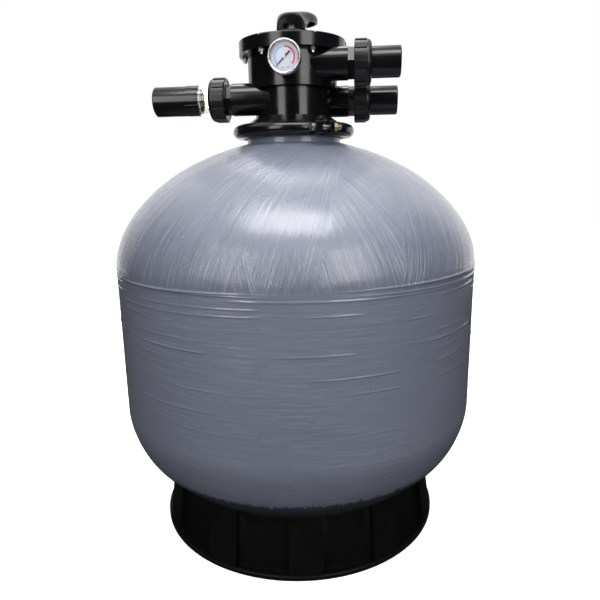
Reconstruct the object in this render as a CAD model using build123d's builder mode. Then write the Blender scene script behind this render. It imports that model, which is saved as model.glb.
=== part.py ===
from build123d import *
import math
import os

# Top-mount sand filter, in millimetres. The origin is on the tank's axis at floor level, +Z is up,
# the ports lie along X and the gauge faces -Y.

# Gaps between pieces
seat_gap = 0.2
running_gap = 0.06
bolt_gap = 0.4
thread_gap = 0.25
cut_margin = 1.0

# Tank
tank_radius = 325.0
tank_wall = 6.0
floor_gap = 33.0
bottom_rise = 204.0
bottom_flat = 25.0
side_height = 257.6
top_rise = 214.0
top_power = 1.82
neck_radius = 83.5
neck_wall = 17.5
neck_reach = 12.5
neck_foot_width = 20.0
neck_foot_thick = 6.0
neck_seal_section = 1.9

# Flanges and clamp that join tank and valve
flange_proud = 13.5
flange_thick = 8.4
clamp_ring_inset = 0.3
clamp_section = 11.5
clamp_split = -57.0
clamp_end_angle = 2.4
half_turn = 180.0
clamp_bolt_radius = 4.0
clamp_bolt_inset = 17.2
clamp_bolt_head = 5.4
clamp_bolt_spare = 8.6
near_lug_start = 21.4
near_lug_end = 8.7
far_lug_start = 5.2
far_lug_end = 13.3
clamp_nut_thick = 6.4
clamp_nut_flats = 13.0
lug_gap = 1.0
lug_width = 24.5
lug_height = 20.0
lug_rounding = 3.0

# Base
base_radius = 265.0
flange_width = 14.0
base_flange = 8.0
flange_bevel = 2.0
base_wall = 4.5
panel_taper = 7.2
seat_width = 17.8
seat_thick = 6.0
seat_slope = 3.0
pilaster_count = 11
pilaster_angle = 12.5
pilaster_turn = -81.8
pilaster_foot_proud = 13.0
pilaster_top_proud = 6.2

# Drain, low on the back of the tank
drain_rise = 33.4
drain_pad_margin = 3.0
drain_pad_out = 3.0
drain_pad_in = 2.0
drain_tube_radius = 14.0
drain_tube_wall = 5.0
drain_tube_out = 21.0
drain_flange_width = 10.0
drain_flange_thick = 4.0
drain_gasket_thick = 2.0
drain_nut_width = 7.0
drain_nut_thick = 8.0
drain_cap_side = 3.75
drain_cap_wall = 3.0
drain_cap_gap = 1.0
drain_cap_ribs = 12
drain_cap_rib_radius = 1.0

# Pipework inside the tank
pipe_radius = 25.0
pipe_wall = 3.0
hub_rise = 39.0
hub_width = 17.0
hub_height = 40.0
hub_wall = 4.0
lateral_count = 8
lateral_radius = 12.0
lateral_wall = 2.5
lateral_gap = 6.3
sand_drop = 64.6

# Valve body, heights above its foot
foot_collar_inset = 11.0
foot_collar_height = 11.4
lower_radius = 67.0
cone_height = 24.4
step_height = 70.4
body_step = 11.0
rim_height = 127.4
rim_thick = 10.0
rim_width = 12.7
chamber_wall = 6.0
floor_height = 27.4
floor_thick = 5.0
seat_height = 72.4
gasket_thick = 3.0
gasket_margin = 5.0
foot_margin = 1.0
socket_wall = 4.5
column_radius = 29.0
column_wall = 8.0
column_window_radius = 15.0
rib_thick = 4.0
sector_count = 6
tank_inlet_radius = 12.0
tank_inlet_place = 45.0

# Basket of slots below the valve
basket_inset = 3.0
basket_wall = 2.5
basket_floor = 3.0
basket_depth = 45.0
basket_socket = 12.0
basket_step = 2.0
basket_slot_count = 10
basket_slot_width = 5.0
basket_slot_foot = 8.0
basket_slot_height = 34.0

# Ports, their side and height
port_bore = 20.5
port_side_gap = 9.5
port_floor_gap = 1.0
upper_port_drop = 31.8
port_length = 20.0
waste_port_extra = 3.0
union_step = 4.5
collar_inset = 1.2
collar_sides = 8
collar_length = 11.0
socket_length = 17.0
seal_section = 1.4

# Pipe tails and union nuts
tail_radius = 25.0
tail_flange_proud = 6.5
tail_flange_thick = 5.4
tail_length = 59.0
tail_edge = 1.5
tail_relief = 0.4
relief_reach = 1.0
nut_wall = 4.3
nut_grip = 1.4
nut_grip_width = 10.0
nut_grip_count = 10
nut_back = 0.6
nut_length = 28.6
nut_lip = 5.0
nut_lip_gap = 1.0
nut_rounding = 7.0
nut_bevel = 1.0

# Sight glass and the longer tail of the waste port
glass_step = 0.6
glass_wall = 3.6
glass_length = 31.5
glass_edge = 0.5
glass_relief = 0.3
collar_step = 0.3
waste_spigot = 3.0
waste_wall = 6.5
waste_length = 111.0
pad_count = 4
pad_angle = 52.0
pad_turn = 5.0
pad_step = 1.3
pad_length = 21.5

# Lid
lid_gap = 0.3
lid_skirt = 3.0
lid_recess = 1.2
lid_plate = 11.5
lid_edge = 2.0
lid_shoulder_inset = 8.0
lid_crown = 26.0
lid_crown_rise = 13.2
lid_crown_fall = 5.0
lid_crown_reach = 28.0
lid_boss_rise = 16.0
lid_boss_radius = 15.0
lid_boss_drop = 1.0
lid_boss_edge = 3.0
lid_bolt_inset = 6.7
lid_bolt_count = 6
lid_bolts_turn = -60.0
lid_bolt_radius = 3.0
lid_bolt_head_radius = 5.2
lid_bolt_head = 4.5
lid_bolt_drop = 9.0
lid_pocket_radius = 6.5
lid_pocket_depth = 5.0
lid_notch_width = 4.0
lid_notch_length = 8.0
lid_nut_flats = 10.0
lid_nut_thick = 5.0
lid_seal_section = 1.4

# Rotor, spring and handle
rotor_gap = 6.2
rotor_thick = 12.8
rotor_recess = 9.0
rotor_opening_angle = 50.0
rotor_recess_angle = 110.0
rotor_recess_turn = 60.0
rotor_recess_margin = 2.0
rotor_hub_step = 6.0
rotor_hub_rise = 5.0
rotor_rim = 6.0
stem_radius = 9.0
stem_edge = 1.0
stem_top_over_pin = 7.0
stem_seal_section = 1.2
stem_seal_inset = 1.2
washer_thick = 1.5
washer_radius = 26.0
spring_radius = 20.5
spring_wire = 2.2
spring_turns = 4
pin_radius = 4.0
pin_over_washer = 10.7
handle_hub_width = 47.0
hub_slot = 19.0
hub_slot_rise = 12.6
hub_slot_gap = 1.0
hub_front = 20.0
hub_front_wall = 4.0
hub_notch_width = 24.0
hub_notch_height = 9.0
hub_bevel = 6.0
hub_neck = 4.0
hub_top_over_pin = 20.0
press_angle = 24.0
press_lift = 6.0
paddle_width = 77.0
paddle_rounding = 13.0
paddle_centre = 90.0
paddle_end = 126.0
paddle_fall = 6.0
paddle_top_over_pin = 43.5
paddle_lip_over_pin = 23.5
handle_wall = 3.6
handle_rib = 3.0
handle_rib_place = 12.0
arch_depth = 12.0
pin_end_gap = 0.5

# Pressure gauge
gauge_drop = 22.0
gauge_boss_radius = 12.0
gauge_lid_gap = 0.8
gauge_shank_radius = 6.5
gauge_hex_flats = 14.0
gauge_hex = 5.8
gauge_shank = 12.0
gauge_case_radius = 25.3
gauge_case_wall = 1.8
gauge_case_depth = 18.0
gauge_case_edge = 2.0
gauge_bezel_step = 1.2
gauge_bezel_edge = 1.5
gauge_bezel_lip = 2.0
gauge_bezel_bevel = 2.4
gauge_window_inset = 3.5
gauge_dial_drop = 1.0
gauge_lens_rise = 2.2
gauge_lens_thick = 2.1
gauge_dial_thick = 0.8
gauge_neck_radius = 5.0
gauge_tube_inset = 6.3
gauge_tube_section = 1.8
gauge_tube_arc = 270.0
gauge_block_width = 7.2
gauge_plate_thick = 1.5
gauge_plate_width = 14.0
gauge_plate_height = 19.6
gauge_plate_rounding = 3.0
gauge_plate_lift = 1.0
gauge_arbor_depth = 3.0
gauge_needle_lift = 0.6
gauge_needle_thick = 0.8
gauge_needle_hub = 2.6
needle_length = 19.5
needle_tail = 12.0
needle_width = 1.4
needle_turn = 225.0
arbor_radius = 1.5

# Radii worked out from those above
neck_bore = neck_radius - neck_wall
flange_radius = neck_radius + flange_proud
clamp_ring_radius = flange_radius - clamp_ring_inset
lug_inner = flange_radius + lug_gap
lug_outer = lug_inner + lug_width
clamp_bolt_place = lug_inner + clamp_bolt_inset
panel_foot_radius = base_radius - flange_width
panel_top_radius = panel_foot_radius - panel_taper
seat_inner_radius = panel_top_radius - seat_width
pilaster_foot_radius = panel_foot_radius + pilaster_foot_proud
pilaster_top_radius = panel_top_radius + pilaster_top_proud
drain_bore = drain_tube_radius - drain_tube_wall
drain_flange_radius = drain_tube_radius + drain_flange_width
drain_pad_radius = drain_flange_radius + drain_pad_margin
drain_nut_radius = drain_tube_radius + drain_nut_width
drain_cap_radius = drain_tube_radius + thread_gap + drain_cap_side
hub_radius = pipe_radius + hub_width
upper_radius = lower_radius + body_step
rim_radius = upper_radius + rim_width
lid_radius = rim_radius + lid_gap + lid_skirt
lid_bolt_place = rim_radius - lid_bolt_inset
lid_shoulder = lid_bolt_place - lid_shoulder_inset
sector_radius = lower_radius - chamber_wall
chamber_radius = upper_radius - chamber_wall
foot_bore = sector_radius - foot_margin
foot_collar_radius = flange_radius - foot_collar_inset
gasket_radius = sector_radius + gasket_margin
column_bore = column_radius - column_wall
rotor_radius = chamber_radius - rotor_gap
rotor_hub_radius = stem_radius + rotor_hub_step
union_radius = tail_radius + tail_flange_proud
port_radius = union_radius - union_step
collar_radius = port_radius - collar_inset
nut_radius = union_radius + nut_wall
nut_grip_radius = nut_radius + nut_grip
nut_lip_bore = tail_radius + nut_lip_gap
seal_radius = (port_bore + union_radius) / 2 - seat_gap
glass_radius = tail_radius + glass_step
glass_bore = glass_radius - glass_wall
waste_bore = tail_radius - waste_wall
pad_radius = tail_radius + pad_step
gauge_bezel_radius = gauge_case_radius + gauge_bezel_step
gauge_window_radius = gauge_case_radius - gauge_window_inset
gauge_tube_radius = gauge_case_radius - gauge_tube_inset
pin_length = handle_hub_width - 2 * pin_end_gap

# Worked out heights
bottom_start = floor_gap + bottom_rise
top_start = bottom_start + side_height


def bottom_dome(radius, inset=0.0):
    """Height of the lower dome at a radius, inset from its outer surface."""
    share = radius / (tank_radius - inset)
    return bottom_start - (bottom_rise - inset) * math.sqrt(1 - share**2)


def bottom_dome_radius(height, inset=0.0):
    """Radius of the lower dome at a height, inset from its outer surface."""
    share = (bottom_start - height) / (bottom_rise - inset)
    return (tank_radius - inset) * math.sqrt(1 - share**2)


def top_dome(radius, inset=0.0):
    """Height of the upper dome at a radius, inset from its outer surface."""
    share = radius / (tank_radius - inset)
    return top_start + (top_rise - inset) * (1 - share**top_power) ** (1 / top_power)


def bottom_dome_line(inset=0.0):
    """Line of the lower dome, from its small flat on the axis out to the tank's side."""
    flat_height = bottom_dome(bottom_flat, inset)
    flat_turn = math.degrees(math.asin(bottom_flat / (tank_radius - inset)))
    Line((0, flat_height), (bottom_flat, flat_height))
    EllipticalCenterArc(
        (0, bottom_start),
        tank_radius - inset,
        bottom_rise - inset,
        start_angle=270 + flat_turn,
        arc_size=90 - flat_turn,
    )


def top_dome_points(end_radius, inset=0.0, count=8):
    """Points of the upper dome from the tank's side up to a radius, closer at the shoulder."""
    last = math.acos((end_radius / (tank_radius - inset)) ** (top_power / 2))
    points = []
    for step in range(count + 1):
        radius = (tank_radius - inset) * math.cos(last * step / count) ** (2 / top_power)
        points.append((radius, top_dome(radius, inset)))
    return points


def meridian(angle):
    """Plane through the Z axis, its local x outwards at an azimuth and its local y up."""
    out = math.radians(angle)
    return Plane(
        origin=(0, 0, 0),
        x_dir=(math.cos(out), math.sin(out), 0),
        z_dir=(math.sin(out), -math.cos(out), 0),
    )


neck_base = top_dome(neck_radius)
joint_height = neck_base + neck_reach + flange_thick
foot = joint_height + seat_gap
clamp_height = joint_height + seat_gap / 2

# Tank shell
drain_height = bottom_dome(pilaster_top_radius) + drain_rise
drain_radius = bottom_dome_radius(drain_height)
drain_slope = math.atan2(
    (bottom_start - drain_height) / bottom_rise**2, drain_radius / tank_radius**2
)
drain_plane = Plane(
    origin=(0, drain_radius, drain_height),
    x_dir=(1, 0, 0),
    z_dir=(0, math.cos(drain_slope), -math.sin(drain_slope)),
)
drain_pad_back = -(tank_wall + drain_pad_in)

with BuildPart() as tank_shell:
    shell_hole = neck_radius + seat_gap
    outer_dome = top_dome_points(shell_hole)
    inner_dome = top_dome_points(shell_hole, tank_wall)
    with BuildSketch(Plane.XZ):
        with BuildLine():
            bottom_dome_line()
            Line((tank_radius, bottom_start), (tank_radius, top_start))
            Spline(*outer_dome)
            Line(outer_dome[-1], inner_dome[-1])
            Spline(*inner_dome[::-1])
            Line((tank_radius - tank_wall, top_start), (tank_radius - tank_wall, bottom_start))
            bottom_dome_line(tank_wall)
            Line((0, bottom_dome(bottom_flat)), (0, bottom_dome(bottom_flat, tank_wall)))
        make_face()
    revolve(axis=Axis.Z)
    with BuildSketch(drain_plane.offset(drain_pad_back)):
        Circle(drain_pad_radius)
    extrude(amount=drain_pad_out - drain_pad_back)
    with BuildSketch(drain_plane.offset(drain_pad_back)):
        Circle(drain_tube_radius + bolt_gap)
    extrude(amount=drain_pad_out - drain_pad_back, mode=Mode.SUBTRACT)

# Neck of the tank, with its foot under the dome and its flange for the clamp
neck_seal_place = (neck_bore + neck_radius) / 2
neck_seal_depth = 2 * neck_seal_section + seat_gap
neck_top = joint_height
foot_edge = neck_radius + neck_foot_width

with BuildPart() as tank_neck:
    with BuildSketch(Plane.XZ):
        with BuildLine():
            Polyline(
                (neck_bore, neck_top),
                (neck_seal_place - neck_seal_section - seat_gap, neck_top),
                (neck_seal_place - neck_seal_section - seat_gap, neck_top - neck_seal_depth),
                (neck_seal_place + neck_seal_section + seat_gap, neck_top - neck_seal_depth),
                (neck_seal_place + neck_seal_section + seat_gap, neck_top),
                (flange_radius, neck_top),
                (flange_radius, neck_top - flange_thick),
                (neck_radius, neck_top - flange_thick),
                (neck_radius, top_dome(neck_radius, tank_wall) - seat_gap),
                (foot_edge, top_dome(foot_edge, tank_wall) - seat_gap),
                (foot_edge, top_dome(foot_edge, tank_wall) - neck_foot_thick),
                (neck_bore, top_dome(neck_radius, tank_wall) - neck_foot_thick - seat_gap),
                close=True,
            )
        make_face()
    revolve(axis=Axis.Z)

with BuildPart() as neck_o_ring:
    with BuildSketch(Plane.XZ):
        with Locations((neck_seal_place, neck_top - neck_seal_depth + neck_seal_section)):
            Circle(neck_seal_section)
    revolve(axis=Axis.Z)

# Base ring: flange, skirt, seat under the dome and eleven hollow pilasters


def pilaster_outline(inset):
    """Outline of a pilaster in a meridian plane, inset for its hollow."""
    inner_radius = panel_top_radius - 2 * base_wall
    return [
        (inner_radius, base_flange / 2 - inset),
        (pilaster_foot_radius - inset, base_flange / 2 - inset),
        (pilaster_top_radius - inset, bottom_dome(pilaster_top_radius) - 2 * seat_gap - inset),
        (inner_radius, bottom_dome(inner_radius) - 3 * seat_gap - inset),
    ]


with BuildPart() as base_ring:
    with BuildSketch(Plane.XZ):
        with BuildLine():
            seat_middle = (seat_inner_radius + panel_top_radius) / 2
            top_out = (panel_top_radius, bottom_dome(panel_top_radius) - seat_gap)
            top_mid = (seat_middle, bottom_dome(seat_middle) - seat_gap)
            top_in = (seat_inner_radius, bottom_dome(seat_inner_radius) - seat_gap)
            ThreePointArc(top_out, top_mid, top_in)
            Polyline(
                top_in,
                (seat_inner_radius, top_in[1] - seat_thick),
                (panel_top_radius - base_wall, top_out[1] - seat_thick - seat_slope),
                (panel_foot_radius - base_wall, 0),
                (base_radius, 0),
                (base_radius, base_flange - flange_bevel),
                (base_radius - flange_bevel, base_flange),
                (panel_foot_radius, base_flange),
                top_out,
            )
        make_face()
    revolve(axis=Axis.Z)
    for copy in range(pilaster_count):
        middle = pilaster_turn + 360 / pilaster_count * copy
        with BuildSketch(meridian(middle - pilaster_angle / 2)):
            Polygon(*pilaster_outline(0), align=None)
        revolve(axis=Axis.Z, revolution_arc=pilaster_angle)
    hollow_angle = pilaster_angle - 2 * math.degrees(base_wall / panel_foot_radius)
    for copy in range(pilaster_count):
        middle = pilaster_turn + 360 / pilaster_count * copy
        with BuildSketch(meridian(middle - hollow_angle / 2)):
            Polygon(*pilaster_outline(base_wall), align=None)
        revolve(axis=Axis.Z, revolution_arc=hollow_angle, mode=Mode.SUBTRACT)

# Drain
drain_gasket_back = drain_pad_back - seat_gap / 2 - drain_gasket_thick
drain_flange_back = drain_gasket_back - seat_gap / 2 - drain_flange_thick
drain_cap_end = drain_tube_out + seat_gap + drain_cap_wall
drain_cap_start = drain_pad_out + seat_gap + drain_nut_thick + drain_cap_gap

with BuildPart() as drain_fitting:
    with BuildSketch(drain_plane.offset(drain_flange_back)):
        Circle(drain_flange_radius)
    extrude(amount=drain_flange_thick)
    with BuildSketch(drain_plane.offset(drain_flange_back)):
        Circle(drain_tube_radius)
    extrude(amount=drain_tube_out - drain_flange_back)
    with BuildSketch(drain_plane.offset(drain_flange_back)):
        Circle(drain_bore)
    extrude(amount=drain_tube_out - drain_flange_back, mode=Mode.SUBTRACT)

with BuildPart() as drain_gasket:
    with BuildSketch(drain_plane.offset(drain_gasket_back)):
        Circle(drain_flange_radius)
        Circle(drain_tube_radius + bolt_gap, mode=Mode.SUBTRACT)
    extrude(amount=drain_gasket_thick)

with BuildPart() as drain_nut:
    with BuildSketch(drain_plane.offset(drain_pad_out + seat_gap / 2)):
        RegularPolygon(drain_nut_radius, 6)
        Circle(drain_tube_radius + thread_gap, mode=Mode.SUBTRACT)
    extrude(amount=drain_nut_thick)

with BuildPart() as drain_cap:
    with BuildSketch(drain_plane.offset(drain_cap_start)):
        Circle(drain_cap_radius)
        with PolarLocations(drain_cap_radius, drain_cap_ribs):
            Circle(drain_cap_rib_radius)
    extrude(amount=drain_cap_end - drain_cap_start)
    with BuildSketch(drain_plane.offset(drain_cap_start)):
        Circle(drain_tube_radius + thread_gap)
    extrude(amount=drain_cap_end - drain_cap_wall - drain_cap_start, mode=Mode.SUBTRACT)

# Pipework and sand in the tank
hub_bottom = floor_gap + tank_wall + hub_rise
pipe_foot = hub_bottom + hub_height / 3
pipe_top = foot + floor_height - seat_gap
lateral_height = hub_bottom + hub_height / 2
lateral_start = hub_radius - 2 * hub_wall
lateral_reach = bottom_dome_radius(lateral_height - lateral_radius, tank_wall) - lateral_gap
sand_top = top_start - sand_drop

with BuildPart() as standpipe:
    with BuildSketch(Plane.XY.offset(pipe_foot)):
        Circle(pipe_radius)
        Circle(pipe_radius - pipe_wall, mode=Mode.SUBTRACT)
    extrude(amount=pipe_top - pipe_foot)
    with BuildSketch(Plane.XZ.offset(-hub_radius)):
        with Locations((0, lateral_height)):
            Circle(lateral_radius - lateral_wall)
    extrude(amount=2 * hub_radius, mode=Mode.SUBTRACT)

with BuildPart() as lateral_hub:
    with BuildSketch(Plane.XY.offset(hub_bottom)):
        Circle(hub_radius)
    extrude(amount=hub_height)
    with BuildSketch(Plane.XY.offset(pipe_foot)):
        Circle(pipe_radius + seat_gap)
    extrude(amount=hub_height, mode=Mode.SUBTRACT)
    for copy in range(lateral_count):
        side = meridian(360 / lateral_count * copy)
        mouth = Plane(origin=(0, 0, lateral_height), x_dir=(0, 0, 1), z_dir=side.x_dir)
        with BuildSketch(mouth.offset(lateral_start)):
            Circle(lateral_radius + running_gap)
        extrude(amount=hub_radius - lateral_start, mode=Mode.SUBTRACT)
        with BuildSketch(mouth):
            Circle(lateral_radius - lateral_wall)
        extrude(amount=lateral_start, mode=Mode.SUBTRACT)

with BuildPart() as laterals:
    for copy in range(lateral_count):
        side = meridian(360 / lateral_count * copy)
        mouth = Plane(origin=(0, 0, lateral_height), x_dir=(0, 0, 1), z_dir=side.x_dir)
        with BuildSketch(mouth.offset(lateral_start)):
            Circle(lateral_radius)
        extrude(amount=lateral_reach - lateral_start)
        with BuildSketch(mouth.offset(lateral_start)):
            Circle(lateral_radius - lateral_wall)
        extrude(amount=lateral_reach - lateral_start - lateral_wall, mode=Mode.SUBTRACT)

with BuildPart() as sand_bed:
    sand_inset = tank_wall + seat_gap
    with BuildSketch(Plane.XZ):
        with BuildLine():
            bottom_dome_line(sand_inset)
            Polyline(
                (tank_radius - sand_inset, bottom_start),
                (tank_radius - sand_inset, sand_top),
                (0, sand_top),
                (0, bottom_dome(bottom_flat, sand_inset)),
            )
        make_face()
    revolve(axis=Axis.Z)
    with BuildSketch(Plane.XY.offset(hub_bottom - seat_gap)):
        Circle(hub_radius + seat_gap)
    extrude(amount=hub_height + 2 * seat_gap, mode=Mode.SUBTRACT)
    with BuildSketch(Plane.XY.offset(hub_bottom)):
        Circle(pipe_radius + seat_gap)
    extrude(amount=sand_top, mode=Mode.SUBTRACT)
    for copy in range(lateral_count // 2):
        side = meridian(360 / lateral_count * copy)
        mouth = Plane(origin=(0, 0, lateral_height), x_dir=(0, 0, 1), z_dir=side.x_dir)
        with BuildSketch(mouth):
            Circle(lateral_radius + seat_gap)
        extrude(amount=lateral_reach + seat_gap, both=True, mode=Mode.SUBTRACT)
    with BuildSketch(drain_plane):
        Circle(drain_pad_radius + seat_gap)
    extrude(amount=drain_flange_back - seat_gap, mode=Mode.SUBTRACT)

# Clamp: two equal half rings with lugs, two bolts and two nuts


def clamp_half(split):
    """Half ring that starts at one split and ends at the next, half a turn on."""
    ends = [(split, far_lug_start, far_lug_end), (split + half_turn, -near_lug_start, -near_lug_end)]
    with BuildPart() as half:
        with BuildSketch(meridian(split + clamp_end_angle)):
            with Locations((clamp_ring_radius, clamp_height)):
                Circle(clamp_section)
            with Locations((flange_radius / 2, clamp_height)):
                Rectangle(flange_radius + 2 * bolt_gap, 2 * flange_thick + 3 * seat_gap, mode=Mode.SUBTRACT)
        revolve(axis=Axis.Z, revolution_arc=half_turn - 2 * clamp_end_angle)
        for angle, lug_start, lug_end in ends:
            out = meridian(angle)
            across = Plane(origin=(0, 0, clamp_height), x_dir=out.x_dir, z_dir=-out.z_dir)
            with BuildSketch(across.offset(lug_start)):
                with Locations(((lug_inner + lug_outer) / 2, 0)):
                    RectangleRounded(lug_outer - lug_inner, lug_height, lug_rounding)
                with Locations((clamp_bolt_place, 0)):
                    Circle(clamp_bolt_radius + bolt_gap, mode=Mode.SUBTRACT)
            extrude(amount=lug_end - lug_start)
    return half


clamp_half_front = clamp_half(clamp_split + half_turn)
clamp_half_rear = clamp_half(clamp_split)
clamp_bolt_start = -near_lug_start - seat_gap
clamp_nut_start = far_lug_end + seat_gap
clamp_bolt_end = clamp_nut_start + clamp_nut_thick + clamp_bolt_spare
clamp_axes = []
for angle in (clamp_split, clamp_split + half_turn):
    out = meridian(angle)
    bolt_origin = out.x_dir * clamp_bolt_place + Vector(0, 0, clamp_height)
    clamp_axes.append(Plane(origin=bolt_origin, x_dir=out.x_dir, z_dir=-out.z_dir))

with BuildPart() as clamp_bolts:
    for axis_plane in clamp_axes:
        with BuildSketch(axis_plane.offset(clamp_bolt_start - clamp_bolt_head)):
            Circle(clamp_nut_flats / 2)
        extrude(amount=clamp_bolt_head)
        with BuildSketch(axis_plane.offset(clamp_bolt_start)):
            Circle(clamp_bolt_radius)
        extrude(amount=clamp_bolt_end - clamp_bolt_start)

with BuildPart() as clamp_nuts:
    for axis_plane in clamp_axes:
        with BuildSketch(axis_plane.offset(clamp_nut_start)):
            RegularPolygon(clamp_nut_flats / 2, 6, major_radius=False)
            Circle(clamp_bolt_radius + running_gap, mode=Mode.SUBTRACT)
        extrude(amount=clamp_nut_thick)

# Valve body


def port_plane(port):
    """Meridian plane of a port, its origin at the end of the port's tube, its local x outwards and y up."""
    side, across, height, reach = port
    return Plane(origin=(side * reach, across, height), x_dir=(side, 0, 0), z_dir=(0, -side, 0))


def port_face(port, distance):
    """Plane square to a port at a distance past the end of the port's tube, facing outwards."""
    side, across, height, reach = port
    return Plane(origin=(side * (reach + distance), across, height), x_dir=(0, side, 0), z_dir=(side, 0, 0))


def port_axis(port):
    """Axis along a port."""
    return Axis((0, port[1], port[2]), (1, 0, 0))


rim_top = foot + rim_height + rim_thick
valve_seat = foot + seat_height
chamber_floor = valve_seat + gasket_thick
sector_floor = foot + floor_height + floor_thick
lid_seal_place = upper_radius - chamber_wall / 2
lid_seal_depth = 2 * lid_seal_section + seat_gap
gauge_height = foot + rim_height - gauge_drop
gauge_boss_end = lid_radius + gauge_lid_gap - gauge_hex - 2 * seat_gap

# Each port has its side, its place across, its height and its reach from the valve's axis
port_reach = upper_radius + port_length
upper_across = chamber_radius - port_bore - port_side_gap
lower_across = sector_radius - port_bore - port_side_gap
upper_port_height = rim_top - upper_port_drop
lower_port_height = sector_floor + port_bore + port_floor_gap
pump_port = (1, -upper_across, upper_port_height, port_reach)
return_port = (1, lower_across, lower_port_height, port_reach)
waste_port = (-1, -lower_across, lower_port_height, port_reach + waste_port_extra)
ports = [pump_port, return_port, waste_port]
union_start = collar_length
union_end = union_start + socket_length


def bore_depth(port, room):
    """Distance from the end of a port's tube back to where its bore opens into a round room."""
    opening = math.sqrt(port_side_gap * (2 * room - port_side_gap))
    return port[3] - opening - chamber_wall


with BuildPart() as valve_body:
    with BuildSketch(Plane.XZ):
        with BuildLine():
            Polyline(
                (0, foot),
                (flange_radius, foot),
                (flange_radius, foot + flange_thick),
                (foot_collar_radius, foot + flange_thick),
                (foot_collar_radius, foot + foot_collar_height),
                (lower_radius, foot + cone_height),
                (lower_radius, foot + step_height),
                (upper_radius, foot + step_height),
                (upper_radius, foot + rim_height),
                (rim_radius, foot + rim_height),
                (rim_radius, rim_top),
                (0, rim_top),
                close=True,
            )
        make_face()
    revolve(axis=Axis.Z)
    for port in ports:
        with BuildSketch(port_face(port, -port[3])):
            Circle(port_radius)
        extrude(amount=port[3])
        with BuildSketch(port_face(port, 0)):
            RegularPolygon(collar_radius, collar_sides)
        extrude(amount=union_start)
        with BuildSketch(port_face(port, union_start)):
            Circle(union_radius)
        extrude(amount=union_end - union_start)
    with BuildSketch(Plane.XZ):
        with Locations((0, gauge_height)):
            Circle(gauge_boss_radius)
    extrude(amount=gauge_boss_end)
    # Chambers: the rotor's above the seat, six sectors below it and the open foot
    with BuildSketch(Plane.XY.offset(chamber_floor)):
        Circle(chamber_radius)
    extrude(amount=rim_top - chamber_floor, mode=Mode.SUBTRACT)
    with BuildSketch(Plane.XY.offset(valve_seat)):
        Circle(gasket_radius + seat_gap)
    extrude(amount=gasket_thick, mode=Mode.SUBTRACT)
    with BuildSketch(Plane.XY.offset(sector_floor)):
        Circle(sector_radius)
        Circle(column_radius, mode=Mode.SUBTRACT)
        with PolarLocations(0, sector_count // 2, angular_range=half_turn):
            Rectangle(2 * lower_radius, rib_thick, mode=Mode.SUBTRACT)
    extrude(amount=valve_seat - sector_floor, mode=Mode.SUBTRACT)
    with BuildSketch(Plane.XY.offset(foot)):
        Circle(foot_bore)
        Circle(pipe_radius + socket_wall, mode=Mode.SUBTRACT)
    extrude(amount=floor_height, mode=Mode.SUBTRACT)
    with BuildSketch(Plane.XY.offset(foot)):
        Circle(pipe_radius + running_gap)
    extrude(amount=floor_height, mode=Mode.SUBTRACT)
    with BuildSketch(Plane.XY.offset(foot)):
        Circle(column_bore)
    extrude(amount=valve_seat - foot - floor_thick, mode=Mode.SUBTRACT)
    # Window from the standpipe into the rear sector, and the ways down into the tank
    with BuildSketch(Plane.XZ):
        with Locations((0, (sector_floor + valve_seat) / 2)):
            Circle(column_window_radius)
    extrude(amount=-column_radius - cut_margin, mode=Mode.SUBTRACT)
    with BuildSketch(Plane.XY.offset(foot + floor_height)):
        with PolarLocations(tank_inlet_place, 2, start_angle=270, angular_range=120):
            Circle(tank_inlet_radius)
    extrude(amount=floor_thick, mode=Mode.SUBTRACT)
    # Bores of the ports and the gauge, and the grooves of the seals
    for port, room in zip(ports, (chamber_radius, sector_radius, sector_radius)):
        with BuildSketch(port_face(port, -bore_depth(port, room))):
            Circle(port_bore)
        extrude(amount=bore_depth(port, room) + union_end, mode=Mode.SUBTRACT)
        with BuildSketch(port_face(port, union_end - 2 * seal_section)):
            Circle(seal_radius + seal_section + seat_gap)
            Circle(seal_radius - seal_section - seat_gap, mode=Mode.SUBTRACT)
        extrude(amount=2 * seal_section, mode=Mode.SUBTRACT)
    with BuildSketch(Plane.XZ.offset(upper_radius - 2 * chamber_wall)):
        with Locations((0, gauge_height)):
            Circle(gauge_shank_radius + running_gap)
    extrude(amount=gauge_boss_end, mode=Mode.SUBTRACT)
    with BuildSketch(Plane.XY.offset(rim_top - lid_seal_depth)):
        Circle(lid_seal_place + lid_seal_section + seat_gap)
        Circle(lid_seal_place - lid_seal_section - seat_gap, mode=Mode.SUBTRACT)
    extrude(amount=lid_seal_depth, mode=Mode.SUBTRACT)
    with BuildSketch(Plane.XY.offset(foot + rim_height - cut_margin)):
        with PolarLocations(lid_bolt_place, lid_bolt_count, start_angle=lid_bolts_turn):
            Circle(lid_bolt_radius + bolt_gap)
    extrude(amount=rim_thick + cut_margin, mode=Mode.SUBTRACT)

with BuildPart() as diffuser:
    basket_radius = foot_bore - basket_inset
    basket_bottom = neck_base - basket_depth
    basket_top = foot + basket_socket
    basket_bore = pipe_radius + 3 * seat_gap
    with BuildSketch(Plane.XZ):
        with BuildLine():
            Polyline(
                (foot_bore - seat_gap, basket_top),
                (foot_bore - seat_gap, foot + basket_step / 2),
                (basket_radius, foot - basket_step),
                (basket_radius, basket_bottom),
                (basket_bore, basket_bottom),
                (basket_bore, basket_bottom + basket_floor),
                (basket_radius - basket_wall, basket_bottom + basket_floor),
                (basket_radius - basket_wall, basket_top),
                close=True,
            )
        make_face()
    revolve(axis=Axis.Z)
    with BuildSketch(Plane.XY.offset(basket_bottom + basket_slot_foot)):
        with PolarLocations(basket_radius, basket_slot_count):
            Rectangle(4 * basket_wall, basket_slot_width)
    extrude(amount=basket_slot_height, mode=Mode.SUBTRACT)

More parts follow.
